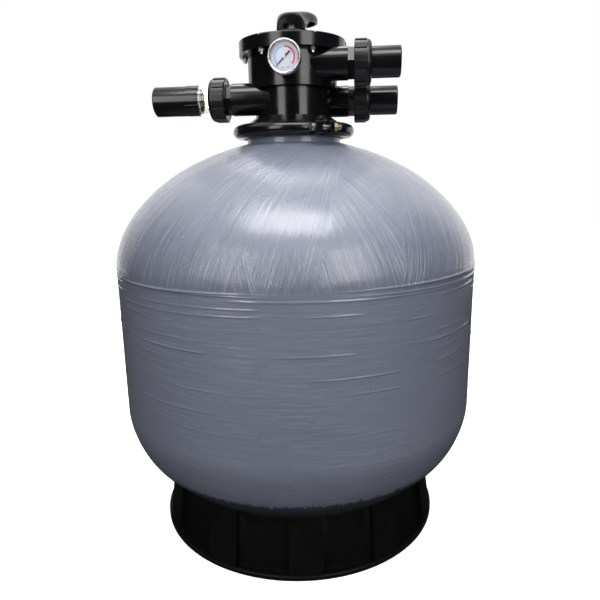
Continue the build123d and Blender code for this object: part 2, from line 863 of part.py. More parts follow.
with BuildPart() as spider_gasket:
    with BuildSketch(Plane.XY.offset(valve_seat)):
        Circle(gasket_radius)
        Circle(sector_radius, mode=Mode.SUBTRACT)
        with PolarLocations(0, sector_count // 2, angular_range=half_turn):
            Rectangle(2 * sector_radius + gasket_margin, rib_thick)
        Circle(column_radius)
        Circle(column_bore, mode=Mode.SUBTRACT)
        with PolarLocations(0, sector_count // 2, angular_range=half_turn):
            Rectangle(2 * column_radius, rib_thick)
    extrude(amount=gasket_thick)

# Unions: nut, tail and face seal on each port, distances from the end of the port's tube
flange_start = union_end + seat_gap
flange_end = flange_start + tail_flange_thick
nut_start = union_start - nut_back
nut_end = nut_start + nut_length
tail_end = union_end + tail_length
glass_end = union_end + glass_length
waste_end = union_end + waste_length


def union_nut(port):
    """Nut with a lip behind the tail's flange, a rounded outer end and raised grips."""
    shoulder = nut_end - nut_rounding
    slant = nut_rounding * math.sqrt(0.5)
    with BuildPart() as nut:
        with BuildSketch(port_plane(port)):
            with BuildLine():
                Polyline(
                    (nut_end, nut_radius - nut_rounding),
                    (nut_end, nut_lip_bore),
                    (nut_end - nut_lip, nut_lip_bore),
                    (nut_end - nut_lip, union_radius + thread_gap),
                    (nut_start, union_radius + thread_gap),
                    (nut_start, nut_radius - nut_bevel),
                    (nut_start + nut_bevel, nut_radius),
                    (shoulder, nut_radius),
                )
                ThreePointArc(
                    (shoulder, nut_radius),
                    (shoulder + slant, nut_radius - nut_rounding + slant),
                    (nut_end, nut_radius - nut_rounding),
                )
            make_face()
        revolve(axis=port_axis(port))
        with BuildSketch(port_face(port, nut_start + nut_bevel)):
            with PolarLocations(nut_radius, nut_grip_count):
                Rectangle(2 * nut_grip, nut_grip_width)
        extrude(amount=shoulder - nut_start - 2 * nut_bevel)
    return nut


def flanged_tube(port, radius, bore, end, edge, relief):
    """Tube whose flange is held by the union nut, a little thinner inside the nut."""
    with BuildPart() as tube:
        with BuildSketch(port_plane(port)):
            with BuildLine():
                Polyline(
                    (flange_start, bore),
                    (flange_start, union_radius - seat_gap),
                    (flange_end, union_radius - seat_gap),
                    (flange_end, radius - relief),
                    (nut_end + relief_reach, radius - relief),
                    (nut_end + relief_reach, radius),
                    (end - edge, radius),
                    (end, radius - edge),
                    (end, bore),
                    close=True,
                )
            make_face()
        revolve(axis=port_axis(port))
    return tube


union_nut_pump = union_nut(pump_port)
union_nut_return = union_nut(return_port)
union_nut_waste = union_nut(waste_port)
tail_pump = flanged_tube(pump_port, tail_radius, port_bore, tail_end, tail_edge, tail_relief)
tail_return = flanged_tube(return_port, tail_radius, port_bore, tail_end, tail_edge, tail_relief)
sight_glass = flanged_tube(waste_port, glass_radius, glass_bore, glass_end, glass_edge, glass_relief)

with BuildPart() as tail_waste:
    waste_face = glass_end + seat_gap
    with BuildSketch(port_plane(waste_port)):
        with BuildLine():
            Polyline(
                (glass_end - waste_spigot, waste_bore),
                (glass_end - waste_spigot, glass_bore - seat_gap),
                (waste_face, glass_bore - seat_gap),
                (waste_face, tail_radius + collar_step),
                (waste_face + pad_length, tail_radius + collar_step),
                (waste_face + pad_length, tail_radius),
                (waste_end - tail_edge, tail_radius),
                (waste_end, tail_radius - tail_edge),
                (waste_end, waste_bore),
                close=True,
            )
        make_face()
    revolve(axis=port_axis(waste_port))
    for copy in range(pad_count):
        turn = pad_turn - pad_angle / 2 + 360 / pad_count * copy
        lift = math.radians(turn)
        pad_plane = Plane(
            origin=port_plane(waste_port).origin,
            x_dir=(-1, 0, 0),
            z_dir=(0, math.sin(lift), math.cos(lift)),
        )
        with BuildSketch(pad_plane):
            with Locations((waste_face + pad_length / 2, (tail_radius + pad_radius - cut_margin) / 2)):
                Rectangle(pad_length, pad_step + cut_margin)
        revolve(axis=port_axis(waste_port), revolution_arc=pad_angle)

with BuildPart() as union_o_rings:
    for port in ports:
        with BuildSketch(port_plane(port)):
            with Locations((union_end - seal_section, seal_radius)):
                Circle(seal_section)
        revolve(axis=port_axis(port))

# Lid with its bolts, nuts and seal
lid_under = rim_top + seat_gap
lid_top = lid_under + lid_plate
boss_top = lid_top + lid_boss_rise
lid_bolt_end = foot + rim_height - lid_bolt_drop

with BuildPart() as valve_lid:
    with BuildSketch(Plane.XZ):
        with BuildLine():
            skirt_foot = foot + rim_height
            crown_top = lid_top + lid_crown_rise
            crown_under = crown_top - chamber_wall
            Polyline(
                (lid_shoulder, lid_top),
                (lid_radius - lid_edge, lid_top),
                (lid_radius, lid_top - lid_edge),
                (lid_radius, skirt_foot),
                (lid_radius - lid_skirt, skirt_foot),
                (lid_radius - lid_skirt, lid_under),
                (chamber_radius, lid_under),
            )
            ThreePointArc(
                (chamber_radius, lid_under),
                (lid_crown + lid_crown_reach - chamber_wall, crown_under - lid_crown_fall),
                (lid_boss_radius, crown_under),
            )
            Polyline(
                (lid_boss_radius, crown_under),
                (lid_boss_radius, lid_top - lid_boss_drop),
                (stem_radius + running_gap, lid_top - lid_boss_drop),
                (stem_radius + running_gap, boss_top),
                (lid_crown - lid_boss_edge, boss_top),
                (lid_crown, crown_top),
            )
            ThreePointArc(
                (lid_crown, crown_top),
                (lid_crown + lid_crown_reach, crown_top - lid_crown_fall),
                (lid_shoulder, lid_top),
            )
        make_face()
    revolve(axis=Axis.Z)
    # Every second sixth of the rim stands back a little
    lid_sixth = 2 * half_turn / lid_bolt_count
    for copy in range(lid_bolt_count // 2):
        with BuildSketch(meridian(lid_bolts_turn + 2 * lid_sixth * copy)):
            with Locations((lid_radius, (skirt_foot + lid_top) / 2)):
                Rectangle(2 * lid_recess, 2 * (lid_top - skirt_foot))
        revolve(axis=Axis.Z, revolution_arc=lid_sixth, mode=Mode.SUBTRACT)
    # Arch over the pump port
    with BuildSketch(port_face(pump_port, -port_reach)):
        Circle(port_radius + 3 * seat_gap)
    extrude(amount=port_reach, mode=Mode.SUBTRACT)
    with BuildSketch(Plane.XY.offset(lid_top - lid_pocket_depth)):
        with PolarLocations(lid_bolt_place, lid_bolt_count, start_angle=lid_bolts_turn):
            Circle(lid_pocket_radius)
    extrude(amount=lid_pocket_depth, mode=Mode.SUBTRACT)
    with BuildSketch(Plane.XY.offset(lid_top - lid_pocket_depth / 2)):
        with PolarLocations(lid_radius - lid_edge, lid_bolt_count, start_angle=lid_bolts_turn):
            Rectangle(lid_notch_length, lid_notch_width)
    extrude(amount=lid_pocket_depth, mode=Mode.SUBTRACT)
    with BuildSketch(Plane.XY.offset(lid_under)):
        with PolarLocations(lid_bolt_place, lid_bolt_count, start_angle=lid_bolts_turn):
            Circle(lid_bolt_radius + bolt_gap)
    extrude(amount=lid_plate, mode=Mode.SUBTRACT)

with BuildPart() as lid_bolts:
    with BuildSketch(Plane.XY.offset(lid_bolt_end)):
        with PolarLocations(lid_bolt_place, lid_bolt_count, start_angle=lid_bolts_turn):
            Circle(lid_bolt_radius)
    extrude(amount=lid_top - lid_pocket_depth + seat_gap - lid_bolt_end)
    with BuildSketch(Plane.XY.offset(lid_top - lid_pocket_depth + seat_gap)):
        with PolarLocations(lid_bolt_place, lid_bolt_count, start_angle=lid_bolts_turn):
            Circle(lid_bolt_head_radius)
    extrude(amount=lid_bolt_head)

with BuildPart() as lid_nuts:
    with BuildSketch(Plane.XY.offset(foot + rim_height - seat_gap - lid_nut_thick)):
        with PolarLocations(lid_bolt_place, lid_bolt_count, start_angle=lid_bolts_turn):
            RegularPolygon(lid_nut_flats / 2, 6, major_radius=False)
            Circle(lid_bolt_radius + running_gap, mode=Mode.SUBTRACT)
    extrude(amount=lid_nut_thick)

with BuildPart() as lid_o_ring:
    with BuildSketch(Plane.XZ):
        with Locations((lid_seal_place, rim_top - lid_seal_depth + lid_seal_section)):
            Circle(lid_seal_section)
    revolve(axis=Axis.Z)

# Rotor with its stem, spring, washers and seals
rotor_foot = chamber_floor + seat_gap
rotor_top = rotor_foot + rotor_thick
washer_foot = boss_top + seat_gap / 2
pin_height = washer_foot + washer_thick + pin_over_washer
stem_top = pin_height + stem_top_over_pin
upper_seal = boss_top - press_lift - 2 * stem_seal_section
lower_seal = upper_seal - 4 * stem_seal_section
sector_inner = column_radius + rib_thick / 2
sector_outer = sector_radius - foot_margin
lid_boss_foot = lid_top - lid_boss_drop


def sector_outline(inner, outer, spread):
    """Closed outline of a ring sector about the local x axis."""
    half = math.radians(spread / 2)
    Line(
        (inner * math.cos(half), inner * math.sin(half)),
        (outer * math.cos(half), outer * math.sin(half)),
    )
    ThreePointArc(
        (outer * math.cos(half), outer * math.sin(half)),
        (outer, 0),
        (outer * math.cos(half), -outer * math.sin(half)),
    )
    Line(
        (outer * math.cos(half), -outer * math.sin(half)),
        (inner * math.cos(half), -inner * math.sin(half)),
    )
    ThreePointArc(
        (inner * math.cos(half), -inner * math.sin(half)),
        (inner, 0),
        (inner * math.cos(half), inner * math.sin(half)),
    )


with BuildPart() as rotor:
    with BuildSketch(Plane.XZ):
        with BuildLine():
            Polyline(
                (0, rotor_foot),
                (rotor_radius, rotor_foot),
                (rotor_radius, rotor_foot + rotor_rim),
                (rotor_radius - rotor_rim, rotor_top),
                (rotor_hub_radius, rotor_top),
                (rotor_hub_radius, rotor_top + rotor_hub_rise),
                (stem_radius, rotor_top + rotor_hub_rise),
                (stem_radius, stem_top - stem_edge),
                (stem_radius - stem_edge, stem_top),
                (0, stem_top),
                close=True,
            )
        make_face()
    revolve(axis=Axis.Z)
    # Opening from the chamber down into the front sector
    with BuildSketch(Plane(origin=(0, 0, rotor_foot), x_dir=(0, -1, 0), z_dir=(0, 0, 1))):
        with BuildLine():
            sector_outline(sector_inner, sector_outer, rotor_opening_angle)
        make_face()
    extrude(amount=rotor_thick, mode=Mode.SUBTRACT)
    # Recess below that joins the standpipe's sector to the return's
    recess_out = math.radians(rotor_recess_turn)
    recess_plane = Plane(
        origin=(0, 0, rotor_foot),
        x_dir=(math.cos(recess_out), math.sin(recess_out), 0),
        z_dir=(0, 0, 1),
    )
    with BuildSketch(recess_plane):
        with BuildLine():
            sector_outline(sector_inner, sector_outer - rotor_recess_margin, rotor_recess_angle)
        make_face()
    extrude(amount=rotor_recess, mode=Mode.SUBTRACT)
    for seal in (upper_seal, lower_seal):
        with BuildSketch(Plane.XY.offset(seal - stem_seal_section - seat_gap / 2)):
            Circle(stem_radius + cut_margin)
            Circle(stem_radius - 2 * stem_seal_section, mode=Mode.SUBTRACT)
        extrude(amount=2 * stem_seal_section + seat_gap, mode=Mode.SUBTRACT)
    with BuildSketch(Plane.YZ.offset(-handle_hub_width / 2)):
        with Locations((0, pin_height)):
            Circle(pin_radius + running_gap)
    extrude(amount=handle_hub_width, mode=Mode.SUBTRACT)

with BuildPart() as stem_rings:
    for seal in (upper_seal, lower_seal):
        with BuildSketch(Plane.XZ):
            with Locations((stem_radius - stem_seal_inset, seal)):
                Circle(stem_seal_section - running_gap)
        revolve(axis=Axis.Z)

with BuildPart() as thrust_washer:
    with BuildSketch(Plane.XY.offset(washer_foot)):
        Circle(washer_radius)
        Circle(stem_radius + seat_gap, mode=Mode.SUBTRACT)
    extrude(amount=washer_thick)

with BuildPart() as spring_washer:
    with BuildSketch(Plane.XY.offset(lid_boss_foot - seat_gap - washer_thick)):
        Circle(washer_radius)
        Circle(stem_radius + seat_gap, mode=Mode.SUBTRACT)
    extrude(amount=washer_thick)

with BuildPart() as rotor_spring:
    spring_foot = rotor_top + spring_wire + seat_gap
    spring_end = lid_boss_foot - seat_gap - washer_thick - spring_wire - seat_gap
    spring_height = spring_end - spring_foot
    with BuildLine() as spring_line:
        Helix(spring_height / spring_turns, spring_height, spring_radius, center=(0, 0, spring_foot))
    with BuildSketch(Plane(origin=spring_line.line @ 0, z_dir=spring_line.line % 0)):
        Circle(spring_wire)
    sweep(path=spring_line.line, is_frenet=True)

# Handle: fork with cam feet round the stem, and a hollow lever that widens to a paddle
cam_rate = press_lift / math.radians(press_angle)
cam_gap = seat_gap / 2


def cam_point(angle):
    """Point of the cam foot that bears on the washer when the handle is pressed by an angle."""
    reach = pin_over_washer - cam_gap + cam_rate * angle
    across = reach * math.sin(angle) + cam_rate * math.cos(angle)
    down = reach * math.cos(angle) - cam_rate * math.sin(angle)
    return (across, pin_height - down)


cam_spare_angle = 6.0
cam_steps = 4
cam_end = math.radians(press_angle + cam_spare_angle)
cam_points = [cam_point(cam_end * step / cam_steps) for step in range(cam_steps + 1)]
cam_foot = cam_points[0][1]
hub_top = pin_height + hub_top_over_pin
paddle_top = pin_height + paddle_top_over_pin
paddle_lip = pin_height + paddle_lip_over_pin
lever_foot = pin_height - pin_over_washer
lever_height = 2 * paddle_top_over_pin


def lever_plan(inset):
    """Plan of hub and lever, inset for the hollow below."""
    half_hub = handle_hub_width / 2 - inset
    half_paddle = paddle_width / 2 - inset
    Polyline(
        (-half_paddle, paddle_centre),
        (-half_hub, hub_front + hub_neck),
        (-half_hub, -hub_front + inset),
        (half_hub, -hub_front + inset),
        (half_hub, hub_front + hub_neck),
        (half_paddle, paddle_centre),
    )
    ThreePointArc(
        (half_paddle, paddle_centre),
        (0, paddle_end - inset),
        (-half_paddle, paddle_centre),
    )


def lever_top(inset):
    """Top line of hub and lever in side view, inset for the hollow below."""
    return [
        (-hub_front + hub_bevel, hub_top - hub_neck - inset),
        (0, hub_top - inset),
        (hub_front + hub_bevel, hub_top + hub_neck - inset),
        (paddle_centre - 2 * hub_neck, paddle_top - cut_margin - inset),
        (paddle_centre + 4 * hub_neck, paddle_top - inset),
        (paddle_end, paddle_top - paddle_fall - inset),
    ]


def lever_front(inset):
    """Outline of the paddle from the front with its round shoulders, inset for the hollow below."""
    half = paddle_width / 2 - inset
    top = paddle_top - inset
    rounding = paddle_rounding - inset
    slant = rounding * (1 - math.sqrt(0.5))
    Polyline(
        (-half, top - rounding),
        (-half, lever_foot - cut_margin),
        (half, lever_foot - cut_margin),
        (half, top - rounding),
    )
    ThreePointArc((half, top - rounding), (half - slant, top - slant), (half - rounding, top))
    Line((half - rounding, top), (rounding - half, top))
    ThreePointArc((rounding - half, top), (slant - half, top - slant), (-half, top - rounding))


hollow_start = hub_front + 2 * hub_neck

with BuildPart() as lever_hollow:
    hollow_top = lever_top(handle_wall)[2:]
    with BuildSketch(Plane.YZ.offset(-paddle_width / 2)):
        with BuildLine():
            Polyline(
                hollow_top[0],
                (hollow_start, hollow_top[0][1]),
                (hollow_start, lever_foot),
                (paddle_end, lever_foot),
                hollow_top[-1],
            )
            Spline(*hollow_top[::-1])
        make_face()
    extrude(amount=paddle_width)
    with BuildSketch(Plane.XY.offset(lever_foot)):
        with BuildLine():
            lever_plan(handle_wall)
        make_face()
    extrude(amount=lever_height, mode=Mode.INTERSECT)
    with BuildSketch(Plane.XZ):
        with BuildLine():
            lever_front(handle_wall)
        make_face()
    extrude(amount=-paddle_end, mode=Mode.INTERSECT)
    for rib in (-1, 1):
        with BuildSketch(Plane.YZ.offset(rib * handle_rib_place - handle_rib / 2)):
            with Locations((paddle_centre, pin_height)):
                Rectangle(2 * paddle_end, 2 * lever_height)
        extrude(amount=handle_rib, mode=Mode.SUBTRACT)

# The slot clears the stem at every press of the handle, and the hub's front wall hides it but for a low notch
slot_front = hub_front - hub_front_wall
slot_swing = math.radians(press_angle)
slot_back = (
    stem_radius * math.cos(slot_swing)
    + (pin_over_washer + press_lift) * math.sin(slot_swing)
    + hub_slot_gap
)

with BuildPart() as handle:
    with BuildSketch(Plane.YZ.offset(-paddle_width / 2)):
        with BuildLine():
            side_top = lever_top(0)
            cam_front = (-hub_front + hub_bevel, cam_foot)
            Line(cam_front, cam_points[0])
            Spline(*cam_points)
            Polyline(
                cam_points[-1],
                (hub_front + hub_neck, pin_height + hub_neck / 2),
                (paddle_centre, paddle_lip),
                (paddle_end, paddle_lip),
                side_top[-1],
            )
            Spline(*side_top[::-1])
            Polyline(
                side_top[0],
                (-hub_front, pin_height + hub_bevel),
                (-hub_front, cam_foot + hub_neck),
                cam_front,
            )
        make_face()
    extrude(amount=paddle_width)
    with BuildSketch(Plane.XY.offset(cam_foot - cut_margin)):
        with BuildLine():
            lever_plan(0)
        make_face()
    extrude(amount=lever_height, mode=Mode.INTERSECT)
    with BuildSketch(Plane.XZ.offset(hub_front)):
        with BuildLine():
            lever_front(0)
        make_face()
    extrude(amount=-(hub_front + paddle_end), mode=Mode.INTERSECT)
    # Arched front of the hub
    arch_centre = hub_top - handle_hub_width / 2
    with BuildSketch(Plane.XZ.offset(-arch_depth)):
        with Locations((0, arch_centre + handle_hub_width)):
            Rectangle(2 * paddle_width, 2 * handle_hub_width)
        with Locations((0, arch_centre)):
            Circle(handle_hub_width / 2, mode=Mode.SUBTRACT)
    extrude(amount=arch_depth + hub_front + cut_margin, mode=Mode.SUBTRACT)
    add(lever_hollow.part, mode=Mode.SUBTRACT)
    with BuildSketch(Plane.YZ.offset(-hub_slot / 2)):
        with Locations((-slot_front, pin_height - 2 * hub_slot_rise)):
            Rectangle(slot_front + slot_back, 3 * hub_slot_rise, align=Align.MIN)
    extrude(amount=hub_slot, mode=Mode.SUBTRACT)
    with BuildSketch(Plane.XZ.offset(slot_front)):
        with Locations((0, cam_foot)):
            Rectangle(hub_notch_width, 2 * hub_notch_height)
    extrude(amount=hub_front_wall + cut_margin, mode=Mode.SUBTRACT)
    with BuildSketch(Plane.YZ.offset(-handle_hub_width / 2)):
        with Locations((0, pin_height)):
            Circle(pin_radius + running_gap)
    extrude(amount=handle_hub_width, mode=Mode.SUBTRACT)

with BuildPart() as handle_pin:
    with BuildSketch(Plane.YZ.offset(-pin_length / 2)):
        with Locations((0, pin_height)):
            Circle(pin_radius)
    extrude(amount=pin_length)

# Pressure gauge on the front of the valve
gauge_plane = Plane(origin=(0, 0, gauge_height), x_dir=(0, -1, 0), z_dir=(-1, 0, 0))
gauge_axis = Axis((0, 0, gauge_height), (0, 1, 0))
hex_start = gauge_boss_end + seat_gap
hex_end = hex_start + gauge_hex
case_start = hex_end + seat_gap
case_end = case_start + gauge_case_depth
block_start = case_start + gauge_case_wall + seat_gap
block_end = block_start + 2 * gauge_tube_section
neck_end = block_end + gauge_plate_lift
plate_end = neck_end + gauge_plate_thick
dial_end = case_end - gauge_dial_drop
dial_start = dial_end - gauge_dial_thick
lens_start = case_end + gauge_lens_rise
lens_end = lens_start + gauge_lens_thick
bezel_end = lens_end + seat_gap + gauge_bezel_lip


def gauge_face(distance):
    """Plane square to the gauge's axis, facing the front, its local y up."""
    return Plane(origin=(0, -distance, gauge_height), x_dir=(1, 0, 0), z_dir=(0, -1, 0))


with BuildPart() as gauge_stem:
    with BuildSketch(gauge_face(gauge_boss_end - gauge_shank)):
        Circle(gauge_shank_radius)
    extrude(amount=gauge_shank + seat_gap)
    with BuildSketch(gauge_face(hex_start)):
        RegularPolygon(gauge_hex_flats / 2, 6, major_radius=False)
    extrude(amount=gauge_hex)
    with BuildSketch(gauge_face(hex_end)):
        Circle(gauge_neck_radius)
    extrude(amount=neck_end - hex_end)
    with BuildSketch(gauge_face(block_start)):
        with Locations((0, -gauge_tube_radius / 2)):
            Rectangle(gauge_block_width, gauge_tube_radius + 2 * gauge_tube_section)
    extrude(amount=block_end - block_start)
    with BuildSketch(gauge_face(neck_end - gauge_arbor_depth)):
        Circle(arbor_radius + running_gap)
    extrude(amount=gauge_arbor_depth, mode=Mode.SUBTRACT)

with BuildPart() as gauge_case:
    with BuildSketch(gauge_plane):
        with BuildLine():
            Polyline(
                (case_start, gauge_neck_radius + running_gap),
                (case_start, gauge_case_radius - gauge_case_edge),
                (case_start + gauge_case_edge, gauge_case_radius),
                (case_end, gauge_case_radius),
                (case_end, gauge_case_radius - gauge_case_wall),
                (case_start + gauge_case_wall, gauge_case_radius - gauge_case_wall),
                (case_start + gauge_case_wall, gauge_neck_radius + running_gap),
                close=True,
            )
        make_face()
    revolve(axis=gauge_axis)

with BuildPart() as gauge_tube:
    tube_start = math.asin(
        (gauge_block_width / 2 + seat_gap) / (gauge_tube_radius - gauge_tube_section)
    )
    tube_plane = Plane(
        origin=(0, 0, gauge_height),
        x_dir=(0, -1, 0),
        z_dir=(math.cos(tube_start), 0, -math.sin(tube_start)),
    )
    with BuildSketch(tube_plane):
        with Locations(((block_start + block_end) / 2, gauge_tube_radius)):
            Circle(gauge_tube_section)
    revolve(axis=gauge_axis, revolution_arc=gauge_tube_arc)

with BuildPart() as gauge_movement:
    with BuildSketch(gauge_face(neck_end)):
        RectangleRounded(gauge_plate_width, gauge_plate_height, gauge_plate_rounding)
        Circle(arbor_radius + running_gap, mode=Mode.SUBTRACT)
    extrude(amount=gauge_plate_thick)
    with BuildSketch(gauge_face(plate_end)):
        with Locations((0, gauge_plate_width / 2), (0, -gauge_plate_width / 2)):
            Circle(arbor_radius)
    extrude(amount=dial_start - plate_end)

with BuildPart() as gauge_dial:
    with BuildSketch(gauge_face(dial_start)):
        Circle(gauge_case_radius - gauge_case_wall - seat_gap)
        Circle(arbor_radius + seat_gap, mode=Mode.SUBTRACT)
    extrude(amount=gauge_dial_thick)

with BuildPart() as gauge_needle:
    with BuildSketch(gauge_face(neck_end - gauge_arbor_depth + seat_gap)):
        Circle(arbor_radius)
    extrude(amount=dial_end + gauge_needle_lift - neck_end + gauge_arbor_depth - seat_gap)
    pointing = math.radians(90 - needle_turn)
    needle_plane = Plane(
        origin=(0, -dial_end - gauge_needle_lift, gauge_height),
        x_dir=(math.cos(pointing), 0, math.sin(pointing)),
        z_dir=(0, -1, 0),
    )
    with BuildSketch(needle_plane):
        Circle(gauge_needle_hub)
        with BuildLine():
            Polyline(
                (0, needle_width),
                (needle_length, needle_width / 4),
                (needle_length, -needle_width / 4),
                (0, -needle_width),
                (-needle_tail, -needle_width),
                (-needle_tail, needle_width),
                close=True,
            )
        make_face()
    extrude(amount=gauge_needle_thick)

with BuildPart() as gauge_lens:
    with BuildSketch(gauge_face(lens_start)):
        Circle(gauge_case_radius - seat_gap)
    extrude(amount=gauge_lens_thick)

with BuildPart() as gauge_bezel:
    with BuildSketch(gauge_plane):
        with BuildLine():
            Polyline(
                (case_start + gauge_case_depth / 2, gauge_case_radius + running_gap),
                (case_start + gauge_case_depth / 2, gauge_bezel_radius),
                (bezel_end - gauge_bezel_edge, gauge_bezel_radius),
                (bezel_end, gauge_bezel_radius - gauge_bezel_edge),
                (bezel_end, gauge_window_radius + gauge_bezel_bevel),
                (bezel_end - gauge_bezel_lip, gauge_window_radius),
                (bezel_end - gauge_bezel_lip, gauge_case_radius + running_gap),
                close=True,
            )
        make_face()
    revolve(axis=gauge_axis)

pieces = {
    "base_ring": base_ring,
    "tank_shell": tank_shell,
    "tank_neck": tank_neck,
    "neck_o_ring": neck_o_ring,
    "clamp_half_front": clamp_half_front,
    "clamp_half_rear": clamp_half_rear,
    "clamp_bolts": clamp_bolts,
    "clamp_nuts": clamp_nuts,
    "standpipe": standpipe,
    "lateral_hub": lateral_hub,
    "laterals": laterals,
    "sand_bed": sand_bed,
    "drain_fitting": drain_fitting,
    "drain_gasket": drain_gasket,
    "drain_nut": drain_nut,
    "drain_cap": drain_cap,
    "valve_body": valve_body,
    "diffuser": diffuser,
    "spider_gasket": spider_gasket,
    "union_nut_pump": union_nut_pump,
    "union_nut_return": union_nut_return,
    "union_nut_waste": union_nut_waste,
    "tail_pump": tail_pump,
    "tail_return": tail_return,
    "tail_waste": tail_waste,
    "sight_glass": sight_glass,
    "union_o_rings": union_o_rings,
    "valve_lid": valve_lid,
    "lid_bolts": lid_bolts,
    "lid_nuts": lid_nuts,
    "lid_o_ring": lid_o_ring,
    "rotor": rotor,
    "stem_rings": stem_rings,
    "thrust_washer": thrust_washer,
    "spring_washer": spring_washer,
    "rotor_spring": rotor_spring,
    "handle": handle,
    "handle_pin": handle_pin,
    "gauge_stem": gauge_stem,
    "gauge_case": gauge_case,
    "gauge_tube": gauge_tube,
    "gauge_movement": gauge_movement,
    "gauge_dial": gauge_dial,
    "gauge_needle": gauge_needle,
    "gauge_lens": gauge_lens,
    "gauge_bezel": gauge_bezel,
}
os.makedirs("parts", exist_ok=True)
for name, piece in pieces.items():
    piece.part.label = name
    export_step(piece.part, f"parts/{name}.step")
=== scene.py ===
# Looks of a top-mount sand filter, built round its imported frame. Lengths are in metres, in the frame's
# axes: +Z up, the ports along X, the gauge towards -Y.
import math

import bmesh
import bpy
import numpy as np
from mathutils import Matrix, Vector


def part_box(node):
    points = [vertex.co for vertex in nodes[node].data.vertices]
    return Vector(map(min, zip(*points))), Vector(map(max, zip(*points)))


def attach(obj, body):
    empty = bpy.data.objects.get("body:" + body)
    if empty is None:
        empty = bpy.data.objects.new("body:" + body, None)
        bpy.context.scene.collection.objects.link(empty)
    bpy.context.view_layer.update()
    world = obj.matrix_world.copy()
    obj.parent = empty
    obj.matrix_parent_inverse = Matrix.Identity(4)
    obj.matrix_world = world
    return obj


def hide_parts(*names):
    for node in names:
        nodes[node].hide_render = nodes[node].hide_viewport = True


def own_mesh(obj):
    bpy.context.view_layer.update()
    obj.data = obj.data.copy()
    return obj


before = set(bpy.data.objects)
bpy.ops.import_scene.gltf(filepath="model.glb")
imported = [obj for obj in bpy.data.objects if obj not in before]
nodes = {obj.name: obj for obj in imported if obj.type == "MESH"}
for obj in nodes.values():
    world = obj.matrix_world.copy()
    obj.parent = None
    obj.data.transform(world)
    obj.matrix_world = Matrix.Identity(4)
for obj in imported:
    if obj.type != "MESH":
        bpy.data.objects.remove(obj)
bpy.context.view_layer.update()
scene = bpy.context.scene
scene.view_settings.view_transform = "Standard"

# Tank, as in the frame
tank_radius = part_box("tank_shell")[1].x
tank_wall = 0.006
bottom_start = 0.237
bottom_rise = 0.204
top_start = 0.4946
top_rise = 0.214
top_power = 1.82
neck_hole = 0.0837
floor_turn = 0.004
drain_height = 0.140
drain_pad_radius = 0.027
drain_pad_bore = 0.0144
drain_pad_proud = 0.003

# Camera, in the place that the photograph was taken from
camera_place = Vector((0.1151, -1.0322, 0.6451))
camera_forward = Vector((-0.1019, 0.9698, -0.2217))
camera_roll = math.radians(-0.908)
camera_lens = 33.12
camera_sensor = 36


class Paint:
    """One material under construction, with its node tree and its shader."""

    def __init__(self, name, colour, roughness, **sockets):
        self.material = bpy.data.materials.new(name)
        self.material.use_nodes = True
        self.tree = self.material.node_tree
        self.shader = self.tree.nodes["Principled BSDF"]
        self.shader.inputs["Base Color"].default_value = (*colour, 1)
        self.shader.inputs["Roughness"].default_value = roughness
        for socket, value in sockets.items():
            self.shader.inputs[socket.replace("_", " ")].default_value = value

    def node(self, kind, inputs=(), **settings):
        """New node of a kind; inputs are pairs of a socket and a value or another socket."""
        made = self.tree.nodes.new("ShaderNode" + kind)
        for setting, value in settings.items():
            setattr(made, setting, value)
        for socket, value in inputs:
            if isinstance(value, bpy.types.NodeSocket):
                self.tree.links.new(value, made.inputs[socket])
            else:
                made.inputs[socket].default_value = value
        return made

    def place(self):
        """Coordinates in the frame, in metres, which stay with the piece as it moves."""
        return self.node("TexCoord").outputs["Object"]

    def noise(self, scale, place=None, detail=2.0, rough=0.5):
        """Noise value, over the frame's coordinates unless others are given."""
        inputs = [("Vector", place or self.place()), ("Scale", scale)]
        inputs += [("Detail", detail), ("Roughness", rough)]
        return self.node("TexNoise", inputs).outputs["Fac"]

    def attribute(self, name, output="Vector"):
        """Vector or number that the mesh carries."""
        return self.node("Attribute", attribute_name=name).outputs[output]

    def math(self, operation, first, second):
        """Number worked out from two others."""
        return self.node("Math", [(0, first), (1, second)], operation=operation).outputs[0]

    def ranged(self, value, low, high, new_low=0.0, new_high=1.0):
        """Value moved from one range to another, and held inside it."""
        inputs = [("Value", value), ("From Min", low), ("From Max", high)]
        inputs += [("To Min", new_low), ("To Max", new_high)]
        return self.node("MapRange", inputs).outputs["Result"]

    def mixed(self, share, first, second):
        """Mix of two colours."""
        made = self.node("Mix", [("Factor", share)], data_type="RGBA")
        for socket, value in ((6, first), (7, second)):
            if isinstance(value, bpy.types.NodeSocket):
                self.tree.links.new(value, made.inputs[socket])
            else:
                made.inputs[socket].default_value = (*value, 1)
        return made.outputs[2]

    def blend(self, share, first, second):
        """Mix of two numbers."""
        return self.node("Mix", [("Factor", share), (2, first), (3, second)], data_type="FLOAT").outputs[0]

    def bump(self, height, distance, strength, under=None):
        """Normal that a height bends, on top of another one if given."""
        inputs = [("Height", height), ("Distance", distance), ("Strength", strength)]
        if under:
            inputs.append(("Normal", under))
        return self.node("Bump", inputs).outputs["Normal"]

    def use(self, socket, output):
        """Feeds a socket of the shader."""
        self.tree.links.new(output, self.shader.inputs[socket])

    def finish(self, edge=0.0, under=None):
        """Adds a small rounding of the edges to the normal, if wanted, and returns the material."""
        normal = under
        if edge:
            inputs = [("Radius", edge)] + ([("Normal", under)] if under else [])
            normal = self.node("Bevel", inputs, samples=4).outputs["Normal"]
        if normal:
            self.use("Normal", normal)
        return self.material


# Materials


